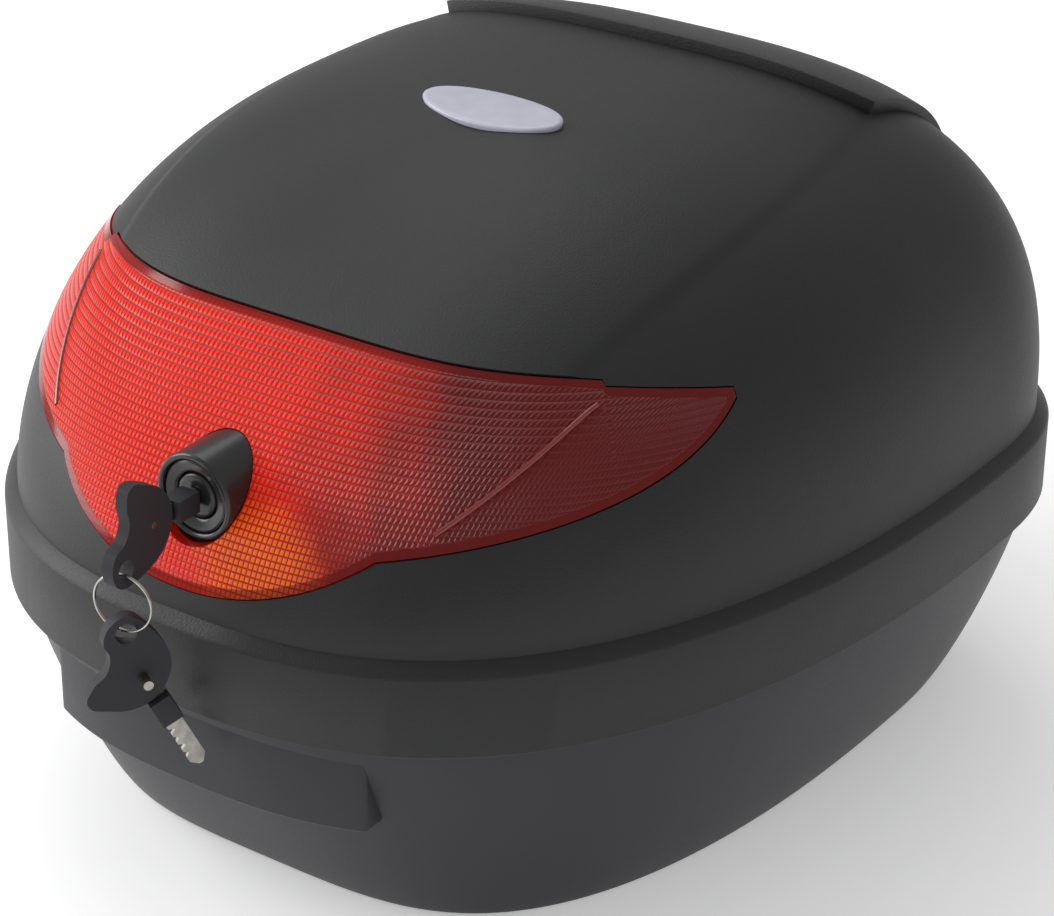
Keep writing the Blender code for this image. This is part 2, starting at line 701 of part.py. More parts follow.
def make_lid_shell(parent):
    """Lid: band, chamfer, dome, inner flange and rear ridge, with the lens aperture."""
    rings = []
    for inset, z in ((0.0, BAND_BOTTOM_Z), (0.0, BAND_TOP_Z)):
        points = outline(EVEN, inset)
        rings.append(np.column_stack([points, np.full(len(points), z)]))
    for level in range(DOME_LEVELS + 1):
        angle = 0.5 * math.pi * level / DOME_LEVELS
        power = dome_power(EVEN)
        rings.append(dome_at_reach(EVEN, np.clip(math.cos(angle), 0, 1) ** (2 / power)))
    rings[-1] = rings[-1][:1]
    shell = loft("lid_shell", rings, BLACK, parent, caps=(False, False), closed=False)
    wall = shell.modifiers.new("wall", "SOLIDIFY")
    wall.thickness = LID_WALL
    wall.offset = -1
    wall.use_even_offset = True
    flange = [
        (LID_WALL / 2, FLANGE_BOTTOM_Z), (FLANGE_REACH, FLANGE_BOTTOM_Z),
        (FLANGE_REACH, FLANGE_BOTTOM_Z + FLANGE_THICKNESS),
        (LID_WALL / 2, FLANGE_BOTTOM_Z + FLANGE_THICKNESS),
    ]
    add(shell, ring_band("lid_flange", flange))
    add(shell, ridge_solid())
    for side in (-1, 1):
        centre = side * HINGE_X
        low = (centre - LEAF_HALF_WIDTH - 0.001, REAR_Y - 0.0044, BAND_BOTTOM_Z + 0.001)
        add(shell, box("leaf_pad", low, (centre + LEAF_HALF_WIDTH + 0.001, LEAF_SEAT_Y, BAND_TOP_Z - 0.003)))
    ears = [box("latch_ear", *ear_corners(side)) for side in (-1, 1)]
    add(shell, *ears)
    cut(shell, slab("lens_aperture", lens_grid(LENS_GAP, -0.008), lens_grid(LENS_GAP, LID_WALL * 2.2)))
    pin = rod(
        "latch_pin_hole", (-0.020, HOOK_PIN_Y, HOOK_PIN_Z), (0.020, HOOK_PIN_Y, HOOK_PIN_Z),
        HOOK_PIN_RADIUS + PIN_GAP,
    )
    cut(shell, pin)
    return shell


def ear_corners(side):
    """Corners of one of the two ears that carry the latch pin inside the lid's front wall."""
    near, far = HOOK_HALF_WIDTH + GAP, HOOK_HALF_WIDTH + GAP + EAR_WIDTH
    front = FRONT_Y + EAR_FRONT_INSET
    low_z = FLANGE_BOTTOM_Z + FLANGE_THICKNESS / 2
    xs = sorted((side * near, side * far))
    return (xs[0], front, low_z), (xs[1], HOOK_PIN_Y + 0.005, EAR_TOP_Z)


def ridge_solid():
    """Raised ridge over the rear of the dome: a step at its front and ends, and a foot that fades away."""
    top, bottom = [], []
    lanes = np.linspace(-1.0, 1.0, RIDGE_LANES + 1)
    for level in range(RIDGE_LEVELS + 1):
        share = level / RIDGE_LEVELS
        lift = RIDGE_HEIGHT * (1 - share) ** 0.8 - 0.0004 * share
        upper, lower = [], []
        for lane in lanes:
            start = Vector((lane * RIDGE_HALF_WIDTH, RIDGE_FRONT_Y + RIDGE_SWEEP * lane**6))
            foot = rear_foot(lane * RIDGE_HALF_WIDTH * 1.05)
            end = Vector((0.0, CROWN_Y)).lerp(foot, RIDGE_FOOT_REACH)
            plan = start.lerp(end, math.sin(0.5 * math.pi * share))
            here, normal = crown_frame(plan.x, plan.y)
            upper.append(here + normal * lift)
            lower.append(here - normal * LID_WALL / 2)
        top.append(upper)
        bottom.append(lower)
    return slab("ridge", np.array(top), np.array(bottom))


def rear_foot(x):
    """Plan point of the dome's foot at an X, on its rear half."""
    t = np.linspace(0.5 * math.pi, 0.0, 501) if x >= 0 else np.linspace(0.5 * math.pi, math.pi, 501)
    foot = outline(t, CHAMFER_INSET)
    best = int(np.argmin(np.abs(foot[:, 0] - x)))
    return Vector((float(foot[best][0]), float(foot[best][1])))


def crown_frame(x, y):
    """Point of the dome above a plan point, and the direction square to the dome there."""
    step = 2e-4
    z = crown_height(x, y)
    slope_x = (crown_height(x + step, y) - crown_height(x - step, y)) / (2 * step)
    slope_y = (crown_height(x, y + step) - crown_height(x, y - step)) / (2 * step)
    return Vector((x, y, z)), Vector((-slope_x, -slope_y, 1.0)).normalized()


def lock_hole(name, radius):
    """Cutting tool along the lock's axis."""
    return rod(name, (0, LOCK_FRONT_Y - 0.01, LOCK_Z), (0, LOCK_FRONT_Y + 0.06, LOCK_Z), radius, sides=32)


def make_lens(parent):
    """Red lens that fills the aperture and stands a little proud of the lid."""
    back = lens_grid(0.0, LENS_THICKNESS - LENS_PROUD)
    lens = slab("lens", lens_grid(0.0, -LENS_PROUD), back, RED_LENS, parent)
    cut(lens, lock_hole("lens_lock_hole", COLLAR_RADIUS + GAP))
    return lens


def make_reflector_pan(parent):
    """Black pan closing the aperture from inside, with a seat square to the lock's axis for its nut."""
    pan = slab(
        "reflector_pan", lens_grid(PAN_RIM_OUT, PAN_START),
        lens_grid(PAN_RIM_OUT, PAN_DEPTH + PAN_WALL, bowl=PAN_EDGE_SHARE), BLACK, parent,
    )
    hollow = slab(
        "pan_hollow", lens_grid(PAN_RIM_IN, -0.004), lens_grid(PAN_RIM_IN, PAN_DEPTH, bowl=PAN_EDGE_SHARE)
    )
    cut(pan, hollow)
    seat_y = LOCK_FRONT_Y + NUT_SEAT - GAP
    outer = NUT_RADIUS + GAP + SEAT_WALL
    boss = rod("pan_boss", (0, seat_y - 0.034, LOCK_Z), (0, seat_y + 0.006, LOCK_Z), outer, sides=32)
    cut(boss, slab("boss_trim", lens_grid(0.004, -0.060), lens_grid(0.004, PAN_DEPTH - 0.0012)))
    cut(boss, box("boss_half", (-0.05, seat_y, LOCK_Z - 0.05), (0.05, seat_y + 0.05, LOCK_Z - 0.001)))
    seat_front, seat_back = (0, seat_y - SEAT_WALL, LOCK_Z), (0, seat_y + 0.0005, LOCK_Z)
    add(pan, boss, rod("pan_seat", seat_front, seat_back, outer - 0.0005, sides=32))
    pocket = rod("pan_pocket", (0, seat_y, LOCK_Z), (0, seat_y + 0.040, LOCK_Z), NUT_RADIUS + GAP, sides=32)
    cut(pan, pocket, lock_hole("pan_lock_hole", COLLAR_RADIUS + GAP))
    return pan


def make_reflector_plate(parent):
    """Bright plate on the floor of the pan, behind the middle of the lens."""
    span = (1 / 6, 5 / 6)
    back = PAN_DEPTH - 2 * GAP
    plate = slab(
        "reflector_plate",
        lens_grid(0.0, back - PLATE_THICKNESS, PLATE_BEARING, span, PAN_EDGE_SHARE),
        lens_grid(0.0, back, PLATE_BEARING, span, PAN_EDGE_SHARE), SILVER, parent,
    )
    cut(plate, lock_hole("plate_lock_hole", NUT_RADIUS + SEAT_WALL + 3 * GAP))
    return plate


def fix_lens(lens, pan, parent):
    """Boss on the back of each wing of the lens, with a screw from inside the lid."""
    for side, label in ((-1, "left"), (1, "right")):
        t = parameter_of_bearing(np.array(side * LENS_BOSS_BEARING))
        bearing = np.array(LENS_BOSS_BEARING)
        low, high = float(lens_bottom(bearing)), float(lens_top(bearing))
        z = np.array(low + (high - low) * LENS_BOSS_SHARE)
        near = Vector(sunk(t, z, np.array(0.001)))
        far = Vector(sunk(t, z, np.array(PAN_DEPTH - LENS_BOSS_GAP)))
        outwards = (near - far).normalized()
        add(lens, rod("lens_boss_" + label, near, far, LENS_BOSS_RADIUS, sides=16))
        seat = far - outwards * (PAN_WALL + LENS_BOSS_GAP + GAP)
        fasten("lens_screw_" + label, seat, outwards, 0.0080, (pan, lens), parent)


def make_badge(parent):
    """Blank oval badge on the top of the lid."""
    steps = 28
    rings = []
    for grow, lift in ((0.0, GAP), (0.0, BADGE_THICKNESS * 0.6), (-0.0012, BADGE_THICKNESS)):
        ring = []
        for step in range(steps):
            angle = 2 * math.pi * step / steps
            x = (BADGE_HALF_LENGTH + grow) * math.cos(angle)
            y = BADGE_Y + (BADGE_HALF_WIDTH + grow) * math.sin(angle)
            ring.append((x, y, crown_height(x, y) + lift))
        rings.append(ring)
    rings.append([(0, BADGE_Y, crown_height(0, BADGE_Y) + BADGE_THICKNESS)])
    rings.insert(0, [(0, BADGE_Y, crown_height(0, BADGE_Y) + GAP)])
    return loft("badge", rings, BADGE_GREY, parent, caps=(False, False))


def make_lock(parent, plug_parent):
    """Collar, nut, barrel, turning plug and its cam, on one axis parallel to Y."""
    origin, along = (0, LOCK_FRONT_Y, LOCK_Z), (0, 1, 0)
    lip = 0.0022
    collar = turned("lock_collar", origin, along, [
        (0, 0.0), (COLLAR_RADIUS - lip, 0.0), (COLLAR_RADIUS - lip * 0.3, lip * 0.3), (COLLAR_RADIUS, lip),
        (COLLAR_RADIUS, COLLAR_LENGTH), (0, COLLAR_LENGTH),
    ], BLACK, parent, sides=32)
    cut(collar, lock_hole("collar_bore", COLLAR_BORE))
    nut_y = LOCK_FRONT_Y + NUT_SEAT
    nut = rod("lock_nut", (0, nut_y, LOCK_Z), (0, nut_y + NUT_THICKNESS, LOCK_Z), NUT_RADIUS, BLACK, parent)
    cut(nut, lock_hole("nut_bore", COLLAR_RADIUS + GAP))
    barrel = turned("lock_barrel", origin, along, [
        (0, BARREL_RECESS), (COLLAR_BORE - GAP - 0.0006, BARREL_RECESS),
        (COLLAR_BORE - GAP, BARREL_RECESS + 0.0006), (COLLAR_BORE - GAP, COLLAR_LENGTH - GAP),
        (0, COLLAR_LENGTH - GAP),
    ], BLACK, parent, sides=32)
    cut(barrel, lock_hole("barrel_bore", BARREL_PLUG_BORE))
    plug = turned("lock_plug", origin, along, [
        (0, BARREL_RECESS), (PLUG_RADIUS, BARREL_RECESS), (PLUG_RADIUS, COLLAR_LENGTH),
        (0, COLLAR_LENGTH),
    ], STEEL, plug_parent)
    slot_half = KEY_BLADE_THICKNESS / 2 + KEYWAY_GAP
    slot_rise = KEY_BLADE_HEIGHT / 2 + KEYWAY_GAP
    cut(plug, box(
        "keyway", (-slot_half, LOCK_FRONT_Y - 0.002, LOCK_Z - slot_rise),
        (slot_half, LOCK_FRONT_Y + KEY_BLADE_LENGTH + 0.001, LOCK_Z + slot_rise),
    ))
    return collar, nut, barrel, plug, make_cam(plug_parent)


def make_cam(parent):
    """Disc behind the plug with a helical ramp that pushes the top of the latch hook."""
    base = LOCK_FRONT_Y + COLLAR_LENGTH + GAP
    disc = rod("lock_cam", (0, base, LOCK_Z), (0, base + CAM_THICKNESS, LOCK_Z), CAM_RADIUS, STEEL, parent)
    steps = 12
    sections = []
    for step in range(steps + 1):
        angle = CAM_LEAD_ANGLE + (CAM_END_ANGLE - CAM_LEAD_ANGLE) * step / steps
        turned_share = min(1.0, (angle - CAM_LEAD_ANGLE) / TURN_ANGLE)
        rear = base + CAM_THICKNESS + CAM_RISE * turned_share
        inner = CAM_RADIUS * 0.6
        corners = [(inner, base), (CAM_LOBE_RADIUS, base), (CAM_LOBE_RADIUS, rear), (inner, rear)]
        sections.append([(r * math.cos(angle), y, LOCK_Z + r * math.sin(angle)) for r, y in corners])
    add(disc, loft("cam_ramp", sections))
    return disc


def make_latch_hook(parent):
    """Rocking hook: its top follows the cam, and its tooth moves under the striker's ledge."""
    cam_face = LOCK_FRONT_Y + COLLAR_LENGTH + GAP + CAM_THICKNESS + GAP
    arm_y = cam_face - HOOK_PIN_Y
    arm_top = LOCK_Z - CAM_RADIUS + 0.001 - HOOK_PIN_Z
    arm_low = arm_top - 0.011
    tip_y = LEDGE_EDGE_Y + TOOTH_CLEARANCE - HOOK_PIN_Y
    tooth_top = LEDGE_BOTTOM_Z - TOOTH_DROP - HOOK_PIN_Z
    half = HOOK_STEM / 2
    profile = [
        (-half, 0.0), (-half * 0.7, half * 1.2), (arm_y, arm_low), (arm_y, arm_top),
        (arm_y + HOOK_STEM, arm_top), (arm_y + HOOK_STEM, arm_low - 0.003), (half * 1.4, -half * 0.8),
        (0.0010, -0.010),
        (-0.0035, tooth_top - 0.006), (tip_y + 0.004, tooth_top - 0.006), (tip_y, tooth_top - 0.003),
        (tip_y, tooth_top), (tip_y + 0.0060, tooth_top), (-0.0065, -0.012),
    ]
    hook = extruded(
        "latch_hook", profile, 2 * HOOK_HALF_WIDTH, side_frame(0, HOOK_PIN_Y, HOOK_PIN_Z), STEEL, parent
    )
    left, right = (-0.020, HOOK_PIN_Y, HOOK_PIN_Z), (0.020, HOOK_PIN_Y, HOOK_PIN_Z)
    cut(hook, rod("hook_bore", left, right, HOOK_PIN_RADIUS + PIN_GAP))
    return hook


def make_latch_pin(parent):
    half = HOOK_HALF_WIDTH + GAP + EAR_WIDTH
    return rod(
        "latch_pin", (-half, HOOK_PIN_Y, HOOK_PIN_Z), (half, HOOK_PIN_Y, HOOK_PIN_Z), HOOK_PIN_RADIUS,
        STEEL, parent,
    )


def make_striker():
    """Ledge on the front of the tub rim that the hook's tooth holds."""
    plate_low = (-LEDGE_HALF_WIDTH - 0.006, STRIKER_SEAT_Y, LEDGE_BOTTOM_Z - 0.008)
    plate_high = (LEDGE_HALF_WIDTH + 0.006, STRIKER_SEAT_Y + STRIKER_PLATE, LEDGE_BOTTOM_Z + 0.0055)
    striker = box("striker", plate_low, plate_high, STEEL)
    add(striker, box(
        "striker_ledge", (-LEDGE_HALF_WIDTH, STRIKER_SEAT_Y + 0.001, LEDGE_BOTTOM_Z),
        (LEDGE_HALF_WIDTH, LEDGE_EDGE_Y, LEDGE_BOTTOM_Z + LEDGE_THICKNESS),
    ))
    return striker


def make_hinge(side, lid_parent):
    """Bracket on the tub, leaf on the lid and the pin through both."""
    label = "left" if side < 0 else "right"
    x = side * HINGE_X
    y, z = HINGE_Y, HINGE_Z
    bracket = box(
        "hinge_bracket_" + label, (x - EAR_HALF_WIDTH, BRACKET_SEAT_Y + GAP, BRACKET_BOTTOM_Z),
        (x + EAR_HALF_WIDTH, BRACKET_SEAT_Y + GAP + LEAF_THICKNESS, BRACKET_TOP_Z), STEEL,
    )
    for edge in (-1, 1):
        inner = x + edge * (KNUCKLE_HALF_WIDTH + GAP)
        outer = x + edge * EAR_HALF_WIDTH
        low_x, high_x = min(inner, outer), max(inner, outer)
        web_low = (low_x, BRACKET_SEAT_Y + 0.001, z - HINGE_RADIUS)
        add(bracket, box("ear_web", web_low, (high_x, y, BRACKET_TOP_Z)))
        add(bracket, rod("ear_eye", (low_x, y, z), (high_x, y, z), HINGE_RADIUS))
    leaf = box(
        "hinge_leaf_" + label, (x - LEAF_HALF_WIDTH, LEAF_SEAT_Y + GAP, BAND_BOTTOM_Z + 0.0015),
        (x + LEAF_HALF_WIDTH, LEAF_SEAT_Y + GAP + LEAF_THICKNESS, BAND_TOP_Z - 0.0045), STEEL, lid_parent,
    )
    half = KNUCKLE_HALF_WIDTH
    seat = LEAF_SEAT_Y + GAP
    neck_high = (x + half, seat + LEAF_THICKNESS, BAND_BOTTOM_Z + 0.003)
    add(leaf, box("leaf_neck", (x - half, seat, z + 0.001), neck_high))
    add(leaf, box("leaf_web", (x - half, seat, z + 0.001), (x + half, y, z + HINGE_RADIUS * 0.9)))
    add(leaf, rod("leaf_knuckle", (x - half, y, z), (x + half, y, z), HINGE_RADIUS))
    bore = rod("hinge_bore_" + label, (x - 0.02, y, z), (x + 0.02, y, z), HINGE_PIN_RADIUS + PIN_GAP)
    cut(bracket, bore)
    cut(leaf, bore)
    rod(
        "hinge_pin_" + label, (x - EAR_HALF_WIDTH - 0.001, y, z), (x + EAR_HALF_WIDTH + 0.001, y, z),
        HINGE_PIN_RADIUS,
        STEEL,
    )
    return bracket, leaf


def fasten(name, seat, direction, length, pieces, parent=None):
    """Put a screw in and cut its hole in each piece that it passes through."""
    hole = screw_hole(name + "_hole", seat, direction, length)
    for piece in pieces:
        cut(piece, hole)
    return screw(name, seat, direction, length, parent)


def make_plate_latch(shell, parent):
    """Sliding bolt, its thumb tab inside the tub and its cover, which hold the case on a mounting plate."""
    rear_bar_y = CATCH_FRONT_Y + CATCH_LENGTH
    low_z, high_z = BOLT_BOTTOM_Z, BOLT_BOTTOM_Z + BOLT_THICKNESS
    half = BOLT_HALF_WIDTH
    bolt = box("plate_bolt", (-half, BOLT_FRONT_Y, low_z), (half, rear_bar_y + 0.003, high_z), STEEL, parent)
    window_front = CATCH_FRONT_Y - BOLT_TRAVEL - 0.004
    window_back = rear_bar_y - BOLT_TONGUE
    cut(bolt, box("bolt_window", (-half + BOLT_ARM, window_front, 0), (half - BOLT_ARM, window_back, 0.02)))
    tab = box(
        "release_tab", (-TAB_HALF_WIDTH, TAB_FRONT_Y, high_z + GAP), (TAB_HALF_WIDTH, TAB_BACK_Y, TAB_TOP_Z),
        RED_LENS, parent,
    )
    edge = tab.modifiers.new("edge", "BEVEL")
    edge.width = 0.0008
    edge.segments = 1
    cover_back = rear_bar_y + BOLT_TRAVEL + COVER_SPRING_ROOM
    cover_low = (-half - GAP * 2 - 0.0025, CATCH_FRONT_Y - 0.020, TUB_WALL + GAP)
    cover_high = (half + GAP * 2 + 0.0025, cover_back, COVER_TOP_Z)
    cover = box("mechanism_cover", cover_low, cover_high, BLACK)
    flange = 0.012
    add(cover, box(
        "cover_flange", (cover_low[0] - flange, cover_low[1] + 0.004, cover_low[2]),
        (cover_high[0] + flange, cover_back, TUB_WALL + GAP + 0.0025),
    ))
    room_high = (half + GAP * 2, cover_back - 0.0025, COVER_TOP_Z - 0.0025)
    cut(cover, box("cover_inside", (-half - GAP * 2, cover_low[1] - 0.01, -0.01), room_high))
    row = 0
    for y in (cover_low[1] + 0.012, cover_back - 0.010):
        for side in (-1, 1):
            row += 1
            seat = (side * (half + 0.0095), y, TUB_WALL + GAP + 0.0025)
            fasten("cover_screw_%d" % row, seat, (0, 0, -1), 0.0042, (cover, shell))
    return bolt, tab, cover


def wire(name, points, radius, look, parent=None, cyclic=False):
    """Round wire through points."""
    curve = bpy.data.curves.new(name, "CURVE")
    curve.dimensions = "3D"
    curve.bevel_depth = radius
    curve.bevel_resolution = 1
    curve.use_fill_caps = True
    spline = curve.splines.new("POLY")
    spline.points.add(len(points) - 1)
    for point, co in zip(spline.points, points):
        point.co = (*co, 1)
    spline.use_cyclic_u = cyclic
    item = bpy.data.objects.new(name, curve)
    CASE.objects.link(item)
    curve.materials.append(material(look))
    if parent is not None:
        item.parent = parent
        item.matrix_parent_inverse = parent.matrix_world.inverted()
    return item


def turned_outline(points, angle):
    c, s = math.cos(angle), math.sin(angle)
    return [(c * a - s * b, s * a + c * b) for a, b in points]


def make_key(label, frame, bow_turn, blade_turn, bow_parent, blade_parent):
    """Folding key in the YZ plane of a frame whose origin is the fold's axis.

    The bow is turned about the fold from its hanging pose, the blade from the +Y axis of the frame.
    """
    half = KEY_BLADE_THICKNESS / 2
    bow = extruded(
        label + "_bow", turned_outline(KEY_BOW_OUTLINE, bow_turn), KEY_THICKNESS,
        frame @ side_frame(0, 0, 0),
        BLACK, bow_parent, smooth_outline=True,
    )
    eye = turned_outline([KEY_HOLE], bow_turn)[0]
    cut(bow, local_rod(label + "_eye", frame, (-0.01, *eye), (0.01, *eye), KEY_HOLE_RADIUS))
    along_bow = frame @ Matrix.Rotation(bow_turn, 4, "X")
    fork = half + GAP
    fork_low, fork_high = (-fork, 0.0, -KEY_FORK_HALF), (fork, 0.030, KEY_FORK_HALF)
    cut(bow, local_box(label + "_fork", along_bow, fork_low, fork_high))
    cut(bow, local_rod(label + "_fork_root", frame, (-fork, 0, 0), (fork, 0, 0), KEY_FORK_RADIUS))
    bore = local_rod(label + "_bore", frame, (-0.01, 0, 0), (0.01, 0, 0), KEY_PIN_RADIUS + PIN_GAP)
    cut(bow, bore)
    along = frame @ Matrix.Rotation(blade_turn, 4, "X")
    blade = local_rod(
        label + "_blade", frame, (-half, 0, 0), (half, 0, 0), KEY_TANG_RADIUS, STEEL, blade_parent
    )
    rise = KEY_BLADE_HEIGHT / 2
    tip = KEY_PIVOT_OUT + KEY_BLADE_LENGTH
    profile = [
        (0.0, -rise), (tip - 0.0035, -rise), (tip, -rise * 0.3), (tip, rise * 0.2), (tip - 0.003, rise),
        (tip - 0.0062, rise), (tip - 0.0077, rise * 0.55), (tip - 0.0092, rise), (tip - 0.0122, rise),
        (tip - 0.0137, rise * 0.6), (tip - 0.0152, rise), (0.0, rise),
    ]
    add(blade, extruded(label + "_stem", profile, KEY_BLADE_THICKNESS, along @ side_frame(0, 0, 0)))
    cut(blade, bore)
    size = KEY_NECK_HALF
    neck = local_box(
        label + "_neck", along, (-size, KEY_NECK_START, -size), (size, KEY_NECK_END, size),
        BLACK, blade_parent,
    )
    slot = ((-half - GAP, 0, -rise - GAP), (half + GAP, 0.05, rise + GAP))
    cut(neck, local_box(label + "_neck_slot", along, *slot))
    side = KEY_THICKNESS / 2
    local_rod(label + "_pin", frame, (-side, 0, 0), (side, 0, 0), KEY_PIN_RADIUS, STEEL, bow_parent)


def local_box(name, frame, low, high, look=None, parent=None):
    shape = bmesh.new()
    bmesh.ops.create_cube(shape, size=1.0)
    low, high = Vector(low), Vector(high)
    for vertex in shape.verts:
        vertex.co = frame @ ((low + high) / 2 + Vector(a * b for a, b in zip(vertex.co, high - low)))
    return finish(name, shape, look, parent, smooth=False)


def local_rod(name, frame, start, end, radius, look=None, parent=None):
    return rod(name, frame @ Vector(start), frame @ Vector(end), radius, look, parent, sides=20)


EVEN = even_parameters(OUTLINE_STEPS)
PLAN_ANGLES, PLAN_PARAMETERS = plan_table()
REAR_Y = WIDEST_Y + REAR_REACH
FRONT_Y = WIDEST_Y - FRONT_REACH
LOCK_FRONT_Y = front_y(LOCK_Z) - LOCK_PROUD
LEAF_SEAT_Y = REAR_Y - 0.0010
BRACKET_SEAT_Y = REAR_Y - 0.0065
HINGE_Y = REAR_Y + HINGE_OUT
HINGE_Z = BAND_BOTTOM_Z - HINGE_DROP
STRIKER_PLATE = 0.0025
STRIKER_SEAT_Y = FRONT_Y + TUB_INSET + TUB_WALL + 2 * GAP
LEDGE_EDGE_Y = STRIKER_SEAT_Y + STRIKER_PLATE + LEDGE_REACH

clear_scene()
CASE = collection("top_case")
TOOLS = collection("cutting_tools", hidden=True)

# Tub and what stays with it.
base = make_base_shell()
make_rim_seal()
striker = make_striker()
for side, label in ((-1, "left"), (1, "right")):
    screw_x = side * (LEDGE_HALF_WIDTH + SCREW_HEAD + GAP)
    seat = (screw_x, STRIKER_SEAT_Y + STRIKER_PLATE, LEDGE_BOTTOM_Z - 0.003)
    fasten("striker_screw_" + label, seat, (0, -1, 0), 0.0046, (striker, base))

# Plate latch.
slide_marker = pivot("plate_latch_slide", (0, BOLT_FRONT_Y, BOLT_BOTTOM_Z))
make_plate_latch(base, slide_marker)

# Lid and what rides on it.
lid_marker = pivot("lid_axis", (0, HINGE_Y, HINGE_Z))
lid = make_lid_shell(lid_marker)
for side, label in ((-1, "left"), (1, "right")):
    bracket, leaf = make_hinge(side, lid_marker)
    x = side * HINGE_X
    for row, z in enumerate((BAND_BOTTOM_Z + 0.0090, BAND_BOTTOM_Z + 0.0230)):
        seat = (x, LEAF_SEAT_Y + GAP + LEAF_THICKNESS, z)
        fasten("leaf_screw_%s_%d" % (label, row + 1), seat, (0, -1, 0), 0.0052, (leaf, lid), lid_marker)
    for row, offset in enumerate((-0.0080, 0.0080)):
        seat = (x + offset, BRACKET_SEAT_Y + GAP + LEAF_THICKNESS, BRACKET_BOTTOM_Z + 0.0080)
        fasten("bracket_screw_%s_%d" % (label, row + 1), seat, (0, -1, 0), 0.0085, (bracket, base))
lens = make_lens(lid_marker)
pan = make_reflector_pan(lid_marker)
make_reflector_plate(lid_marker)
fix_lens(lens, pan, lid_marker)
make_badge(lid_marker)

# Lock and latch.
plug_marker = pivot("plug_axis", (0, LOCK_FRONT_Y, LOCK_Z))
make_lock(lid_marker, plug_marker)
hook_marker = pivot("latch_axis", (0, HOOK_PIN_Y, HOOK_PIN_Z))
make_latch_hook(hook_marker)
make_latch_pin(lid_marker)

# Keys on their ring.
fold = Vector((0, LOCK_FRONT_Y - KEY_PIVOT_OUT, LOCK_Z + KEY_PIVOT_UP))
fold_marker = pivot("key_fold_axis", fold)
key_marker = pivot("key_slide", fold)
make_key("key", Matrix.Translation(fold), 0.0, 0.0, fold_marker, key_marker)
ring_top = fold + Vector((0, KEY_HOLE[0], KEY_HOLE[1] - RING_DROP))
ring_marker = pivot("ring_axis", ring_top)
ring_points = []
for step in range(32):
    angle = 2 * math.pi * step / 32
    across, up = RING_RADIUS * math.sin(angle), RING_RADIUS * (math.cos(angle) - 1)
    ring_points.append(ring_top + Vector((across * math.cos(RING_TWIST), across * math.sin(RING_TWIST), up)))
wire("key_ring", ring_points, RING_WIRE, STEEL, ring_marker, cyclic=True)
spare_eye = ring_top - Vector((0, 0, 2 * RING_RADIUS))
spare_turn = Matrix.Rotation(SPARE_TWIST + 0.5 * math.pi, 4, "Z")
spare_fold = spare_eye - spare_turn @ Vector((0, *turned_outline([KEY_HOLE], SPARE_BOW_TURN)[0]))
spare_marker = pivot("spare_key_axis", spare_eye)
spare_fold_marker = pivot("spare_key_fold_axis", spare_fold)
make_key(
    "spare_key", Matrix.Translation(spare_fold) @ spare_turn, SPARE_BOW_TURN, SPARE_BLADE_TURN, spare_marker,
    spare_fold_marker,
)
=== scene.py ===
"""Looks of a hard motorcycle top case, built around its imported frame.

Everything is in metres in the frame's own axes: the lens and the lock face -Y, the hinges are
at +Y, and +Z is up.
"""

import logging
import math
from dataclasses import dataclass, field
from enum import Enum
from typing import Sequence

import bmesh
import bpy
import numpy as np
from mathutils import Matrix, Vector


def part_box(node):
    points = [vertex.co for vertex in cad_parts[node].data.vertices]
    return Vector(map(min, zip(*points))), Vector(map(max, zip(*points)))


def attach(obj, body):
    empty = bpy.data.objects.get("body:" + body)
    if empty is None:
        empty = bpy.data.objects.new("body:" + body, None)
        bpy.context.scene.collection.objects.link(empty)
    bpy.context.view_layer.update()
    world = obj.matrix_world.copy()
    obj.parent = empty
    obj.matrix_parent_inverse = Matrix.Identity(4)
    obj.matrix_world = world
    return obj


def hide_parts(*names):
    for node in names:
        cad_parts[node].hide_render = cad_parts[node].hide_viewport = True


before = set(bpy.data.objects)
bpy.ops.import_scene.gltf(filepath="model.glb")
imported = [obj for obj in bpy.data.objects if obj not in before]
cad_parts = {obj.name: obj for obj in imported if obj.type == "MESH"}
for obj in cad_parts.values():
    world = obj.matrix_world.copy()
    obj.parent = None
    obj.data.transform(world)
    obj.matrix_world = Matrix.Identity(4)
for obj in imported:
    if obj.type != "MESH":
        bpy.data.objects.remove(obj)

LOG = logging.getLogger("top_case")
SPARE_TWIST = math.radians(57.0)
SIDES = ((-1, "left"), (1, "right"))
Point = Sequence[float]


# ---------------------------------------------------------------- shader expressions


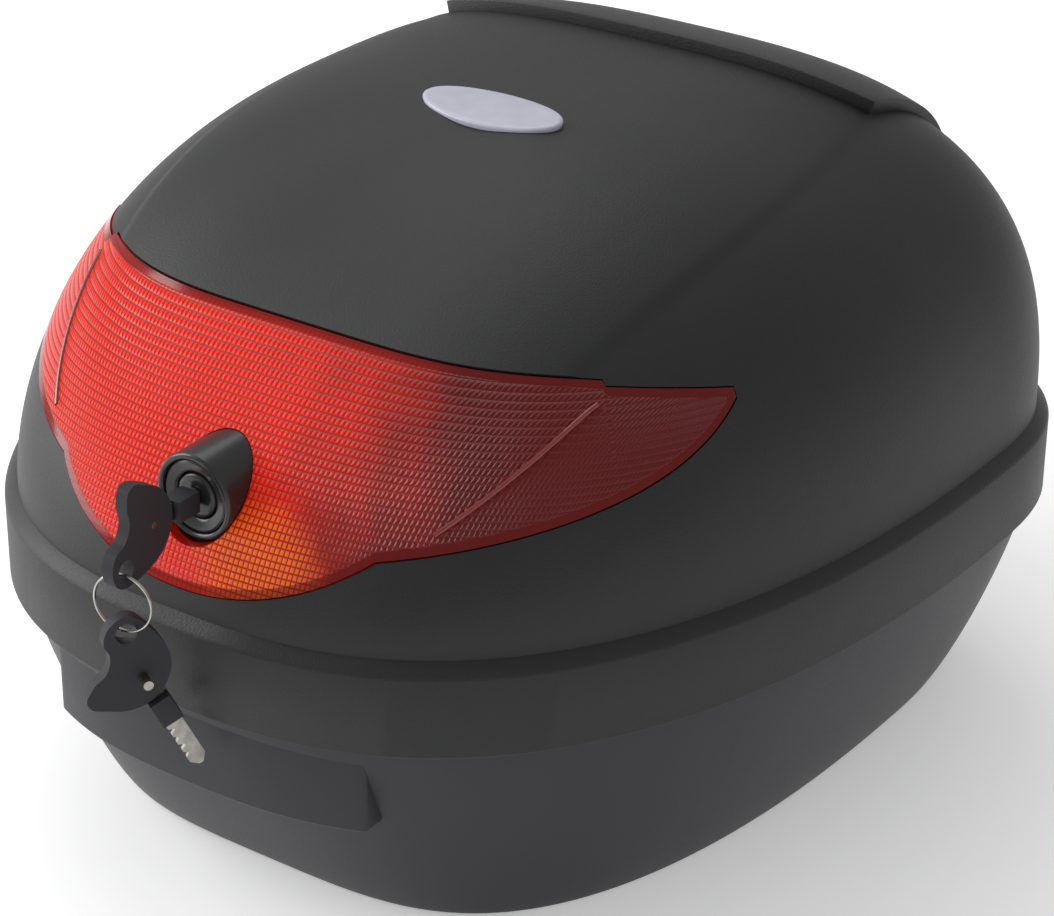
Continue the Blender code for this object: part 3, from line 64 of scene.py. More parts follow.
class Value:
    """Number socket of a node tree, on which Python's operators add Math nodes."""

    def __init__(self, shader: "Shader", socket: bpy.types.NodeSocket) -> None:
        """Wrap a socket of a shader's tree."""
        self.shader = shader
        self.socket = socket

    def _math(self, operation: str, *others: "Value | float") -> "Value":
        """Add a Math node.

        Args:
            operation: The Math node's operation.
            others: The values after this one.

        Returns:
            The node's output.
        """
        node = self.shader.node("ShaderNodeMath", {"operation": operation}, dict(enumerate((self, *others))))
        return Value(self.shader, node.outputs[0])

    def __add__(self, other: "Value | float") -> "Value":
        """Sum."""
        return self._math("ADD", other)

    __radd__ = __add__

    def __mul__(self, other: "Value | float") -> "Value":
        """Product."""
        return self._math("MULTIPLY", other)

    __rmul__ = __mul__

    def __sub__(self, other: "Value | float") -> "Value":
        """Difference."""
        return self._math("SUBTRACT", other)

    def __rsub__(self, other: float) -> "Value":
        """Difference from a number."""
        return (self * -1.0) + other

    def least(self, other: "Value | float") -> "Value":
        """Smaller of two values."""
        return self._math("MINIMUM", other)

    def size(self) -> "Value":
        """Absolute value."""
        return self._math("ABSOLUTE")

    def wave(self) -> "Value":
        """Sine of the value."""
        return self._math("SINE")

    def ramp(self, low: float, high: float) -> "Value":
        """Smooth step from 0 at low to 1 at high.

        Args:
            low: Where the step starts.
            high: Where the step ends.

        Returns:
            The stepped value.
        """
        settings = {"interpolation_type": "SMOOTHSTEP"}
        node = self.shader.node("ShaderNodeMapRange", settings, {0: self, 1: low, 2: high, 3: 0.0, 4: 1.0})
        return Value(self.shader, node.outputs[0])


class Shader:
    """Material and its node tree, with one method that makes any node."""

    def __init__(self, name: str) -> None:
        """Start a material with a Principled surface."""
        self.material = bpy.data.materials.new(name)
        self.material.use_nodes = True
        self.tree = self.material.node_tree
        self.surface = self.tree.nodes["Principled BSDF"]
        coordinates = self.tree.nodes.new("ShaderNodeTexCoord")
        self.place = coordinates.outputs["Object"]
        self.sheet = coordinates.outputs["UV"]

    def node(self, kind: str, settings: dict, inputs: dict) -> bpy.types.Node:
        """Add a node.

        Args:
            kind: The node's type.
            settings: Its properties, set first.
            inputs: Socket name or index to a constant, a socket or a Value.

        Returns:
            The node.
        """
        made = self.tree.nodes.new(kind)
        for key, setting in settings.items():
            setattr(made, key, setting)
        for key, given in inputs.items():
            self._feed(made.inputs[key], given)
        return made

    def _feed(self, socket: bpy.types.NodeSocket, given: object) -> None:
        """Link a socket or set it, with three numbers for a colour taken as opaque."""
        given = given.socket if isinstance(given, Value) else given
        if isinstance(given, bpy.types.NodeSocket):
            self.tree.links.new(given, socket)
        elif socket.type == "RGBA" and len(given) == 3:
            socket.default_value = (*given, 1.0)
        else:
            socket.default_value = given

    def noise(self, scale: float, detail: float = 2.0, place: bpy.types.NodeSocket | None = None) -> Value:
        """Noise over the object's coordinates.

        Args:
            scale: Cells in a metre.
            detail: Octaves of finer noise.
            place: Coordinates to read instead.

        Returns:
            Values around 0.5.
        """
        inputs = {"Vector": place or self.place, "Scale": scale, "Detail": detail, "Roughness": 0.55}
        return Value(self, self.node("ShaderNodeTexNoise", {}, inputs).outputs[0])

    def axis(self, index: int, place: bpy.types.NodeSocket | None = None) -> Value:
        """One coordinate of a position."""
        split = self.node("ShaderNodeSeparateXYZ", {}, {0: place or self.place})
        return Value(self, split.outputs[index])

    def attribute(self, name: str) -> Value:
        """Number stored on the mesh's points."""
        made = self.node("ShaderNodeAttribute", {"attribute_name": name}, {})
        return Value(self, made.outputs["Fac"])

    def mix(self, share: "Value | float", low: object, high: object) -> bpy.types.NodeSocket:
        """Colour between two colours.

        Args:
            share: 0 gives the first and 1 the second.
            low: First colour or its socket.
            high: Second colour or its socket.

        Returns:
            The mixed colour's socket.
        """
        made = self.node("ShaderNodeMix", {"data_type": "RGBA"}, {0: share, 6: low, 7: high})
        return made.outputs[2]

    def dress(self, **inputs: object) -> None:
        """Set or link the surface's sockets by name, with _ for a space."""
        for key, given in inputs.items():
            self._feed(self.surface.inputs[key.replace("_", " ")], given)

    def bump(self, height: Value, depth: float, strength: float = 1.0) -> None:
        """Raise the surface by a height of 0 to 1, of that depth in metres."""
        inputs = {"Strength": strength, "Distance": depth, "Height": height}
        made = self.node("ShaderNodeBump", {}, inputs)
        self.tree.links.new(made.outputs[0], self.surface.inputs["Normal"])


# ---------------------------------------------------------------- finishes


@dataclass(frozen=True)
class MouldedPlastic:
    """Moulded plastic with a fine grain, faint mottling and dust in its grain."""

    name: str
    colour: tuple[float, float, float]
    roughness: float
    grain: float
    grain_depth: float
    mottle: float = 0.25

    def build(self) -> bpy.types.Material:
        """Make the material."""
        shader = Shader(self.name)
        grain = shader.noise(1.0 / self.grain, 3.0)
        cloud = shader.noise(9.0, 3.0)
        light = tuple(min(1.0, part * (1 + self.mottle) + 0.004) for part in self.colour)
        dark = tuple(part * (1 - self.mottle) for part in self.colour)
        colour = shader.mix((cloud * 0.6 + grain * 0.4).ramp(0.3, 0.7), dark, light)
        shader.dress(Base_Color=colour, Roughness=grain * 0.18 + cloud * 0.10 + (self.roughness - 0.14))
        shader.dress(Specular_IOR_Level=0.45)
        shader.bump(grain, self.grain_depth, 0.8)
        return shader.material


@dataclass(frozen=True)
class GlossPlastic:
    """Polished plastic with faint handling marks."""

    name: str
    colour: tuple[float, float, float]
    roughness: float = 0.16
    coat: float = 0.5

    def build(self) -> bpy.types.Material:
        """Make the material."""
        shader = Shader(self.name)
        smear = shader.noise(140.0, 4.0)
        lighter = tuple(part * 1.3 + 0.004 for part in self.colour)
        shader.dress(Base_Color=shader.mix(smear, self.colour, lighter))
        shader.dress(Roughness=smear * 0.12 + self.roughness - 0.05)
        shader.dress(Coat_Weight=self.coat, Coat_Roughness=0.08)
        shader.bump(shader.noise(60.0, 1.0), 0.00012, 0.4)
        return shader.material


@dataclass(frozen=True)
class Metal:
    """Metal with streaks along an axis and small pits."""

    name: str
    colour: tuple[float, float, float]
    roughness: float
    streak_axis: int = 2

    def build(self) -> bpy.types.Material:
        """Make the material."""
        shader = Shader(self.name)
        stretch = [1.0, 1.0, 1.0]
        stretch[self.streak_axis] = 0.05
        mapped = shader.node("ShaderNodeMapping", {}, {"Vector": shader.place, "Scale": tuple(stretch)})
        streak = shader.noise(2600.0, 2.0, mapped.outputs[0])
        tarnish = shader.noise(220.0, 4.0)
        worn = tuple(part * 0.72 for part in self.colour)
        shader.dress(Base_Color=shader.mix(tarnish.ramp(0.35, 0.7), worn, self.colour), Metallic=1.0)
        shader.dress(Roughness=streak * 0.16 + tarnish * 0.12 + (self.roughness - 0.12))
        shader.bump(streak, 0.00004, 0.5)
        return shader.material


@dataclass(frozen=True)
class SoftRubber:
    """Dull rubber with a dusty bloom."""

    name: str
    colour: tuple[float, float, float]

    def build(self) -> bpy.types.Material:
        """Make the material."""
        shader = Shader(self.name)
        bloom = shader.noise(320.0, 4.0)
        pale = tuple(part * 2.2 + 0.01 for part in self.colour)
        shader.dress(Base_Color=shader.mix(bloom.ramp(0.5, 0.9), self.colour, pale))
        shader.dress(Roughness=bloom * 0.2 + 0.7)
        shader.bump(bloom, 0.00015, 0.6)
        return shader.material


@dataclass(frozen=True)
class PrismLens:
    """Red plastic: a smooth dark border round rows of small prisms, with painted light: a painted ramp from
    lit to shaded across X, a painted amber glow near the lock in place of the amber behind the lens, and a
    faint glow given off.
    """

    name: str
    lit: tuple[float, float, float]
    shaded: tuple[float, float, float]
    edge: tuple[float, float, float]
    amber: tuple[float, float, float]
    pitch: float = 0.0023
    border: float = 0.0034
    # Painted light: along X the lens runs from its painted lit colour to its painted shaded colour between
    # these two places.
    painted_lit_x: float = -0.004
    painted_shaded_x: float = 0.096
    # Place and size of the painted amber glow near the lock.
    glow: tuple[float, float] = (0.030, 0.166)
    glow_radius: float = 0.034

    def build(self) -> bpy.types.Material:
        """Make the material."""
        shader = Shader(self.name)
        turn = math.pi / self.pitch
        across = (shader.axis(0, shader.sheet) * turn).wave().size()
        along = (shader.axis(1, shader.sheet) * turn).wave().size()
        prism = across.least(along)
        groove = prism.ramp(0.10, 0.62)
        field_mask = shader.attribute("rim").ramp(self.border, self.border + 0.0008)
        cloud = shader.noise(21.0, 3.0)
        fleck = shader.noise(150.0, 3.0)
        # Painted shade: this ramp is not a depth but the share of painted shade, growing across X from the
        # lit side to the shaded side.
        depth = (shader.axis(0) + (cloud - 0.5) * 0.12).ramp(self.painted_lit_x, self.painted_shaded_x)
        painted_light_colour = shader.mix(depth, self.lit, self.shaded)
        # Painted glow: an amber patch near the lock, in place of the amber behind the lens, mixed into the
        # prisms' colour.
        side = (shader.axis(0) - self.glow[0]) * (1 / self.glow_radius)
        rise = (shader.axis(2) - self.glow[1]) * (1.7 / self.glow_radius)
        near = 1.0 - (side * side + rise * rise + (cloud - 0.5) * 1.2).ramp(0.0, 1.0)
        painted_light_colour = shader.mix(near * groove, painted_light_colour, self.amber)
        valley = shader.mix(0.55 + fleck * 0.3, painted_light_colour, self.edge)
        inside = shader.mix(groove * (0.65 + fleck * 0.45), valley, painted_light_colour)
        shader.dress(Base_Color=shader.mix(field_mask, self.edge, inside))
        shader.dress(Roughness=0.13 + field_mask * 0.16)
        shader.dress(Transmission_Weight=0.30, IOR=1.45, Specular_IOR_Level=0.26)
        # Painted glow: the lens gives off its own painted colour as faint light.
        shader.dress(Emission_Color=inside, Emission_Strength=0.26)
        shader.bump(prism * field_mask, 0.0009, 0.6)
        return shader.material


@dataclass(frozen=True)
class Silvering:
    """Silvered plastic whose tint turns to amber low down."""

    name: str
    silver: tuple[float, float, float]
    amber: tuple[float, float, float]
    amber_z: float

    def build(self) -> bpy.types.Material:
        """Make the material."""
        shader = Shader(self.name)
        height = shader.axis(2) + (shader.noise(40.0, 2.0) - 0.5) * 0.02
        tint = shader.mix(height.ramp(self.amber_z, self.amber_z + 0.018), self.amber, self.silver)
        haze = shader.noise(180.0, 3.0)
        shader.dress(Base_Color=tint, Metallic=0.9, Roughness=haze * 0.2 + 0.14)
        shader.bump(haze, 0.0004, 0.5)
        return shader.material


class Finish(Enum):
    """Every finish of the case, by what it is on."""

    LID = MouldedPlastic("grained_black", (0.0082, 0.0086, 0.0088), 0.50, 0.00085, 0.00022)
    TUB = MouldedPlastic("satin_slate", (0.0130, 0.0130, 0.0180), 0.46, 0.0012, 0.00006, 0.15)
    INNER = MouldedPlastic("plain_black", (0.012, 0.012, 0.013), 0.55, 0.0016, 0.00005)
    SEAL = SoftRubber("seal_rubber", (0.012, 0.012, 0.012))
    # The lens's lit and shaded reds are painted light and painted shade, and its amber is a painted glow.
    LENS = PrismLens(
        "prism_red", lit=(0.900, 0.022, 0.003), shaded=(0.110, 0.001, 0.0005),
        edge=(0.110, 0.002, 0.001), amber=(0.980, 0.170, 0.006),
    )
    CLEAR_RED = GlossPlastic("rib_red", (0.160, 0.006, 0.004), 0.10, 0.8)
    MIRROR = Silvering("reflector", (0.82, 0.74, 0.66), (0.95, 0.42, 0.05), 0.170)
    BADGE = GlossPlastic("blank_badge", (0.420, 0.420, 0.500), 0.34, 0.1)
    LOCK = GlossPlastic("lock_black", (0.008, 0.008, 0.009), 0.17, 0.4)
    PLUG = Metal("plug_steel", (0.16, 0.16, 0.165), 0.38, 1)
    KEY_BLACK = MouldedPlastic("key_black", (0.009, 0.009, 0.010), 0.36, 0.0011, 0.00004)
    KEY_STEEL = Metal("key_nickel", (0.40, 0.38, 0.35), 0.30)
    WIRE = Metal("ring_wire", (0.58, 0.56, 0.52), 0.22)
    ZINC = Metal("zinc_plate", (0.48, 0.48, 0.47), 0.34)
    TAB = GlossPlastic("tab_red", (0.300, 0.012, 0.010), 0.30, 0.2)

    def material(self) -> bpy.types.Material:
        """Material of the finish, made once."""
        return bpy.data.materials.get(self.value.name) or self.value.build()


# ---------------------------------------------------------------- mesh helpers


def grid_faces(rows: int, columns: int, closed: bool) -> list[tuple[int, int, int, int]]:
    """Faces of a grid of points whose rows run round or across.

    Args:
        rows: Number of rows.
        columns: Points in a row.
        closed: Whether a row's end joins its start.

    Returns:
        Corner numbers of each face.
    """
    last = columns if closed else columns - 1
    faces = []
    for row in range(rows - 1):
        for column in range(last):
            after = (column + 1) % columns
            low, high = row * columns, (row + 1) * columns
            faces.append((low + column, low + after, high + after, high + column))
    return faces


def linked(name: str, data: bpy.types.ID) -> bpy.types.Object:
    """Object that holds some data, linked to the scene."""
    item = bpy.data.objects.new(name, data)
    bpy.context.scene.collection.objects.link(item)
    return item


def object_from(name: str, points: Sequence[Point], faces: Sequence[Sequence[int]]) -> bpy.types.Object:
    """Make a mesh object of points and faces, linked to the scene."""
    mesh = bpy.data.meshes.new(name)
    mesh.from_pydata([tuple(map(float, point)) for point in points], [], [tuple(face) for face in faces])
    return linked(name, mesh)


def tidy(item: bpy.types.Object, outwards: bool = True, merge: float = 1e-6) -> bpy.types.Object:
    """Merge doubles, and turn a closed mesh's faces outwards."""
    shape = bmesh.new()
    shape.from_mesh(item.data)
    bmesh.ops.remove_doubles(shape, verts=shape.verts, dist=merge)
    bmesh.ops.dissolve_degenerate(shape, edges=shape.edges, dist=merge)
    if outwards:
        bmesh.ops.recalc_face_normals(shape, faces=shape.faces)
    shape.to_mesh(item.data)
    shape.free()
    return item


def smooth(item: bpy.types.Object, degrees: float = 32.0) -> bpy.types.Object:
    """Shade smooth, with edges sharper than an angle kept."""
    item.data.shade_smooth()
    item.data.set_sharp_from_angle(angle=math.radians(degrees))
    return item


def settle(item: bpy.types.Object) -> bpy.types.Object:
    """Apply every modifier and the place of an object to its mesh."""
    bpy.context.view_layer.update()
    evaluated = item.evaluated_get(bpy.context.evaluated_depsgraph_get())
    mesh = bpy.data.meshes.new_from_object(evaluated)
    mesh.transform(item.matrix_world)
    name = item.name
    old = item.data
    bpy.data.objects.remove(item)
    if isinstance(old, bpy.types.Mesh):
        bpy.data.meshes.remove(old)
    mesh.name = name
    return linked(name, mesh)


def modify(item: bpy.types.Object, kind: str, **settings: object) -> bpy.types.Object:
    """Add a modifier with its settings."""
    modifier = item.modifiers.new(kind.lower(), kind)
    for key, setting in settings.items():
        setattr(modifier, key, setting)
    return item


def rounded(
    item: bpy.types.Object, width: float, segments: int = 3, degrees: float = 35.0
) -> bpy.types.Object:
    """Round the edges sharper than an angle."""
    limit = math.radians(degrees)
    modify(item, "BEVEL", width=width, segments=segments, limit_method="ANGLE", angle_limit=limit)
    return smooth(settle(item), 40.0)


def carved(item: bpy.types.Object, *tools: bpy.types.Object) -> bpy.types.Object:
    """Cut tools out of an object and remove them."""
    for tool in tools:
        modify(item, "BOOLEAN", operation="DIFFERENCE", solver="EXACT", object=tool)
    made = settle(item)
    for tool in tools:
        bpy.data.objects.remove(tool)
    return made


def slab_faces(rows: int, columns: int) -> list[tuple[int, ...]]:
    """Faces of a closed slab between two grids of points, the outer grid's points first."""
    count = rows * columns
    faces: list[tuple[int, ...]] = list(grid_faces(rows, columns, False))
    faces += [tuple(count + corner for corner in reversed(face)) for face in faces]
    border = list(range(columns)) + [i * columns + columns - 1 for i in range(1, rows)]
    border += [(rows - 1) * columns + j for j in range(columns - 2, -1, -1)]
    border += [i * columns for i in range(rows - 2, 0, -1)]
    for here, there in zip(border, border[1:] + border[:1]):
        faces.append((here, count + here, count + there, there))
    return faces


def slab(name: str, outer: np.ndarray, inner: np.ndarray) -> bpy.types.Object:
    """Closed solid between two grids of points of the same shape."""
    rows, columns = outer.shape[:2]
    points = np.concatenate([outer.reshape(-1, 3), inner.reshape(-1, 3)])
    return tidy(object_from(name, points, slab_faces(rows, columns)))


def at_level(plan: np.ndarray, z: float) -> np.ndarray:
    """Plan points lifted to a height."""
    return np.column_stack([plan, np.full(len(plan), z)])


def loft(name: str, rings: Sequence[np.ndarray], caps: tuple[bool, bool] = (True, True)) -> bpy.types.Object:
    """Skin through closed rings of the same number of points, with flat end faces."""
    columns = len(rings[0])
    faces = grid_faces(len(rings), columns, True)
    if caps[0]:
        faces.append(tuple(reversed(range(columns))))
    if caps[1]:
        faces.append(tuple((len(rings) - 1) * columns + step for step in range(columns)))
    return object_from(name, np.concatenate(rings), faces)


def turned(
    name: str, origin: Point, direction: Point, profile: Sequence[Point], sides: int = 64
) -> bpy.types.Object:
    """Solid turned from (radius, height) corners, which start and end on the axis or close on themselves.

    Args:
        name: Name of the piece.
        origin: Foot of the axis.
        direction: The way that heights grow.
        profile: Corners of the outline.
        sides: Steps round the axis.

    Returns:
        The object, its faces outwards.
    """
    angles = np.linspace(0, 2 * math.pi, sides, endpoint=False)
    circle = np.column_stack([np.cos(angles), np.sin(angles)])
    rings = [at_level(radius * circle, height) for radius, height in profile]
    if profile[0][0] != 0:
        rings.append(rings[0])
    item = loft(name, rings, (False, False))
    turn = Vector((0, 0, 1)).rotation_difference(Vector(direction)).to_matrix().to_4x4()
    item.data.transform(Matrix.Translation(origin) @ turn)
    return tidy(item)


def rod(
    name: str, foot: Point, direction: Point, radius: float, length: float, sides: int = 40
) -> bpy.types.Object:
    """Plain round rod from a foot point."""
    return turned(name, foot, direction, [(0, 0), (radius, 0), (radius, length), (0, length)], sides)


def block(name: str, low: Point, high: Point) -> bpy.types.Object:
    """Box between two corners."""
    shape = bmesh.new()
    bmesh.ops.create_cube(shape, size=1.0)
    low, high = Vector(low), Vector(high)
    for vertex in shape.verts:
        vertex.co = (low + high) / 2 + Vector(a * b for a, b in zip(vertex.co, high - low))
    mesh = bpy.data.meshes.new(name)
    shape.to_mesh(mesh)
    shape.free()
    return linked(name, mesh)


def wire(name: str, points: Sequence[Point], radius: float, closed: bool = False) -> bpy.types.Object:
    """Round wire through points, as a mesh."""
    curve = bpy.data.curves.new(name, "CURVE")
    curve.dimensions = "3D"
    curve.bevel_depth = radius
    curve.bevel_resolution = 3
    curve.use_fill_caps = True
    spline = curve.splines.new("POLY")
    spline.points.add(len(points) - 1)
    for point, place in zip(spline.points, points):
        point.co = (*place, 1)
    spline.use_cyclic_u = closed
    return smooth(tidy(settle(linked(name, curve))), 50.0)


def plate(
    name: str, outline: Sequence[Point], thickness: float, place: Matrix, round_outline: bool
) -> bpy.types.Object:
    """Flat outline extruded on both sides of its plane and put in place."""
    curve = bpy.data.curves.new(name, "CURVE")
    curve.dimensions = "2D"
    curve.fill_mode = "BOTH"
    curve.extrude = thickness / 2
    curve.resolution_u = 8
    if round_outline:
        spline = curve.splines.new("BEZIER")
        spline.bezier_points.add(len(outline) - 1)
        for point, (x, y) in zip(spline.bezier_points, outline):
            point.co = (x, y, 0)
            point.handle_left_type = point.handle_right_type = "AUTO"
    else:
        spline = curve.splines.new("POLY")
        spline.points.add(len(outline) - 1)
        for point, (x, y) in zip(spline.points, outline):
            point.co = (x, y, 0, 1)
    spline.use_cyclic_u = True
    item = tidy(settle(linked(name, curve)))
    item.data.transform(place)
    return tidy(item)


def show(item: bpy.types.Object, finish: Finish, body: str, slot: str, *nodes: str) -> bpy.types.Object:
    """Dress a finished piece, let it ride on a body and stand for CAD nodes.

    Args:
        item: The piece.
        finish: Its finish.
        body: The CAD body that it moves with.
        slot: The record's material slot; not used.
        nodes: CAD nodes that it stands for.

    Returns:
        The piece.
    """
    item.data.materials.clear()
    item.data.materials.append(finish.material())
    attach(item, body)
    if nodes:
        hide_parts(*nodes)
    LOG.info("%s on %s: %d faces", item.name, body, len(item.data.polygons))
    return item


# ---------------------------------------------------------------- geometry nodes


@dataclass
class Scatter:
    """Geometry-nodes tree that sets a small shape on every point of a mesh, turned to its normal."""

    name: str
    finish: Finish
    length: float
    width: float
    height: float
    seed: int = 7

    def build(self, host: bpy.types.Object) -> bpy.types.Object:
        """Run the tree on a host mesh and keep the result as a plain mesh.

        Args:
            host: Object whose points carry the shapes.

        Returns:
            The object with all the shapes.
        """
        tree = bpy.data.node_groups.new(self.name, "GeometryNodeTree")
        tree.interface.new_socket("Geometry", in_out="INPUT", socket_type="NodeSocketGeometry")
        sizes = {"Length": self.length, "Width": self.width, "Height": self.height}
        for label in sizes:
            socket = tree.interface.new_socket(label, in_out="INPUT", socket_type="NodeSocketFloat")
            socket.default_value = 0.001
        tree.interface.new_socket("Geometry", in_out="OUTPUT", socket_type="NodeSocketGeometry")
        nodes, links = tree.nodes, tree.links
        start, end = nodes.new("NodeGroupInput"), nodes.new("NodeGroupOutput")
        bead = nodes.new("GeometryNodeMeshIcoSphere")
        bead.inputs["Radius"].default_value = 0.5
        bead.inputs["Subdivisions"].default_value = 1
        scale = nodes.new("ShaderNodeCombineXYZ")
        vary = nodes.new("FunctionNodeRandomValue")
        vary.data_type = "FLOAT_VECTOR"
        vary.inputs["Min"].default_value = (0.94, 0.94, 0.94)
        vary.inputs["Max"].default_value = (1.06, 1.06, 1.06)
        vary.inputs["Seed"].default_value = self.seed
        product = nodes.new("ShaderNodeVectorMath")
        product.operation = "MULTIPLY"
        normal = nodes.new("GeometryNodeInputNormal")
        align = nodes.new("FunctionNodeAlignRotationToVector")
        align.axis = "Z"
        spread = nodes.new("GeometryNodeInstanceOnPoints")
        real = nodes.new("GeometryNodeRealizeInstances")
        paint = nodes.new("GeometryNodeSetMaterial")
        paint.inputs["Material"].default_value = self.finish.material()
        for index, label in enumerate(sizes):
            links.new(start.outputs[label], scale.inputs[index])
        links.new(scale.outputs[0], product.inputs[0])
        links.new(vary.outputs["Value"], product.inputs[1])
        links.new(start.outputs["Geometry"], spread.inputs["Points"])
        links.new(bead.outputs["Mesh"], spread.inputs["Instance"])
        links.new(normal.outputs[0], align.inputs["Vector"])
        links.new(align.outputs[0], spread.inputs["Rotation"])
        links.new(product.outputs[0], spread.inputs["Scale"])
        links.new(spread.outputs[0], real.inputs[0])
        links.new(real.outputs[0], paint.inputs["Geometry"])
        links.new(paint.outputs[0], end.inputs[0])
        modifier = host.modifiers.new(self.name, "NODES")
        modifier.node_group = tree
        inputs = [entry for entry in tree.interface.items_tree if entry.in_out == "INPUT"]
        identifiers = {entry.name: entry.identifier for entry in inputs}
        for label, value in sizes.items():
            modifier[identifiers[label]] = value
        host.name = self.name
        return smooth(settle(host), 30.0)


# ---------------------------------------------------------------- shape of the case


@dataclass(frozen=True)
class CaseShape:
    """Driving sizes of the case's skin, the same as the frame's."""

    half_width: float = 0.200
    widest_y: float = 0.088
    front_reach: float = 0.302
    rear_reach: float = 0.1256
    front_powers: tuple[float, float] = (2.60, 2.25)
    rear_powers: tuple[float, float] = (2.83, 2.71)
    band_bottom: float = 0.1005
    band_top: float = 0.1352
    chamfer_top: float = 0.1400
    chamfer_inset: float = 0.0054
    crown_y: float = 0.015
    crown_z: float = 0.278
    dome_powers: tuple[float, float, float] = (1.60, 2.68, 3.88)
    tub_inset: float = 0.0058
    tub_power: float = 1.18
    floor_half_width: float = 0.155
    floor_widest_y: float = 0.091
    floor_reaches: tuple[float, float] = (0.2504, 0.112)
    floor_powers: tuple[float, float] = (3.61, 2.33)
    wall: float = 0.003
    panel_raise: float = 0.0012
    panel_half_width: float = 0.1270
    panel_narrowing: float = 0.021
    panel_reach: float = 0.137
    panel_slope: float = 0.0042
    panel_low: float = 0.2255

    def _oval(
        self, t: np.ndarray, half: float, y: float, reaches: Sequence[float], front: Point, rear: Point
    ) -> np.ndarray:
        """Closed plan curve with its own powers before and behind its widest line."""
        c, s = np.cos(t), np.sin(t)
        ahead = s < 0
        power_x = np.where(ahead, front[0], rear[0])
        power_y = np.where(ahead, front[1], rear[1])
        x = half * np.sign(c) * np.abs(c) ** (2 / power_x)
        depth = np.where(ahead, reaches[0], reaches[1])
        return np.stack([x, y + depth * np.sign(s) * np.abs(s) ** (2 / power_y)], -1)

    def outline(self, t: np.ndarray, inset: float = 0.0) -> np.ndarray:
        """Plan outline of the lid's band, moved inwards."""
        reaches = (self.front_reach - inset, self.rear_reach - inset)
        half = self.half_width - inset
        return self._oval(t, half, self.widest_y, reaches, self.front_powers, self.rear_powers)

    def floor(self, t: np.ndarray) -> np.ndarray:
        """Plan outline of the underside."""
        return self._oval(
            t, self.floor_half_width, self.floor_widest_y, self.floor_reaches,
            self.floor_powers, self.floor_powers,
        )

    def even(self, count: int) -> np.ndarray:
        """Parameters spaced evenly round the outline from the front centre."""
        fine = np.linspace(-0.5 * math.pi, 1.5 * math.pi, 6001)
        steps = np.linalg.norm(np.diff(self.outline(fine), axis=0), axis=1)
        travelled = np.concatenate([[0.0], np.cumsum(steps)])
        return np.interp(np.arange(count) / count * travelled[-1], travelled, fine)

    def of_bearing(self, bearing: np.ndarray) -> np.ndarray:
        """Outline parameter of a bearing seen from the crown, 0 at the front and growing towards +X."""
        fine = np.linspace(-math.pi, 0.25 * math.pi, 6001)
        points = self.outline(fine, self.chamfer_inset)
        seen = np.unwrap(np.arctan2(points[:, 0], self.crown_y - points[:, 1]))
        return np.interp(bearing, seen, fine)

    def power(self, t: np.ndarray) -> np.ndarray:
        """Exponent of the dome's section."""
        front, side, rear = self.dome_powers
        ahead, astern = np.clip(-np.sin(t), 0, 1) ** 2, np.clip(np.sin(t), 0, 1) ** 2
        return front * ahead + rear * astern + side * np.cos(t) ** 2

    def dome(self, t: np.ndarray, reach: np.ndarray) -> np.ndarray:
        """Point of the dome at a share of the way from the crown to its foot."""
        power = self.power(t)
        reach = np.clip(reach, 0, 1)
        foot = self.outline(t, self.chamfer_inset)
        rise = (1 - reach**power) ** (1 / power)
        y = self.crown_y + (foot[..., 1] - self.crown_y) * reach
        height = self.chamfer_top + (self.crown_z - self.chamfer_top) * rise
        return np.stack([foot[..., 0] * reach, y, height], -1)

    def at_height(self, t: np.ndarray, z: np.ndarray) -> np.ndarray:
        """Point of the dome at a height."""
        power = self.power(t)
        rise = np.clip((z - self.chamfer_top) / (self.crown_z - self.chamfer_top), 0, 1)
        return self.dome(t, (1 - rise**power) ** (1 / power))

    def sunk(self, t: np.ndarray, z: np.ndarray, depth: np.ndarray) -> np.ndarray:
        """Point at a depth square below the dome."""
        step = 1e-4
        along = self.at_height(t + step, z) - self.at_height(t - step, z)
        up = self.at_height(t, z + step) - self.at_height(t, z - step)
        normal = np.cross(along, up)
        normal /= np.linalg.norm(normal, axis=-1, keepdims=True)
        return self.at_height(t, z) - normal * np.asarray(depth)[..., None]

    def plan_height(self, x: np.ndarray, y: np.ndarray) -> np.ndarray:
        """Height of the dome above plan points."""
        fine = np.linspace(-0.5 * math.pi, 2.5 * math.pi, 12001)
        points = self.outline(fine, self.chamfer_inset)
        seen = np.unwrap(np.arctan2(points[:, 1] - self.crown_y, points[:, 0]))
        t = np.interp(np.arctan2(y - self.crown_y, x) % (2 * math.pi), seen, fine)
        foot = self.outline(t, self.chamfer_inset)
        reach = np.hypot(x, y - self.crown_y) / np.hypot(foot[..., 0], foot[..., 1] - self.crown_y)
        return self.dome(t, reach)[..., 2]

    def panel(self, points: np.ndarray) -> np.ndarray:
        """How far the centre panel stands above the dome at its points, from 0 to 1."""
        edge = self.panel_half_width - self.panel_narrowing * (points[..., 1] / self.panel_reach) ** 2
        inside = np.clip((edge - np.abs(points[..., 0])) / self.panel_slope, 0, 1)
        high = np.clip((points[..., 2] - self.panel_low) / 0.003, 0, 1)
        return inside * inside * (3 - 2 * inside) * high

    def tub_ring(self, t: np.ndarray, level: float, inset: float = 0.0) -> np.ndarray:
        """Ring of the tub's wall, from its foot at 0 to under the rim at 1."""
        angle = 0.5 * math.pi * (1 - level)
        share = 1 - math.cos(angle) ** (2 / self.tub_power)
        z = self.band_bottom * (1 - math.sin(angle) ** (2 / self.tub_power))
        rim = self.outline(t, self.tub_inset + inset)
        plan = rim + (self.floor(t) - rim) * share
        return at_level(plan, z)


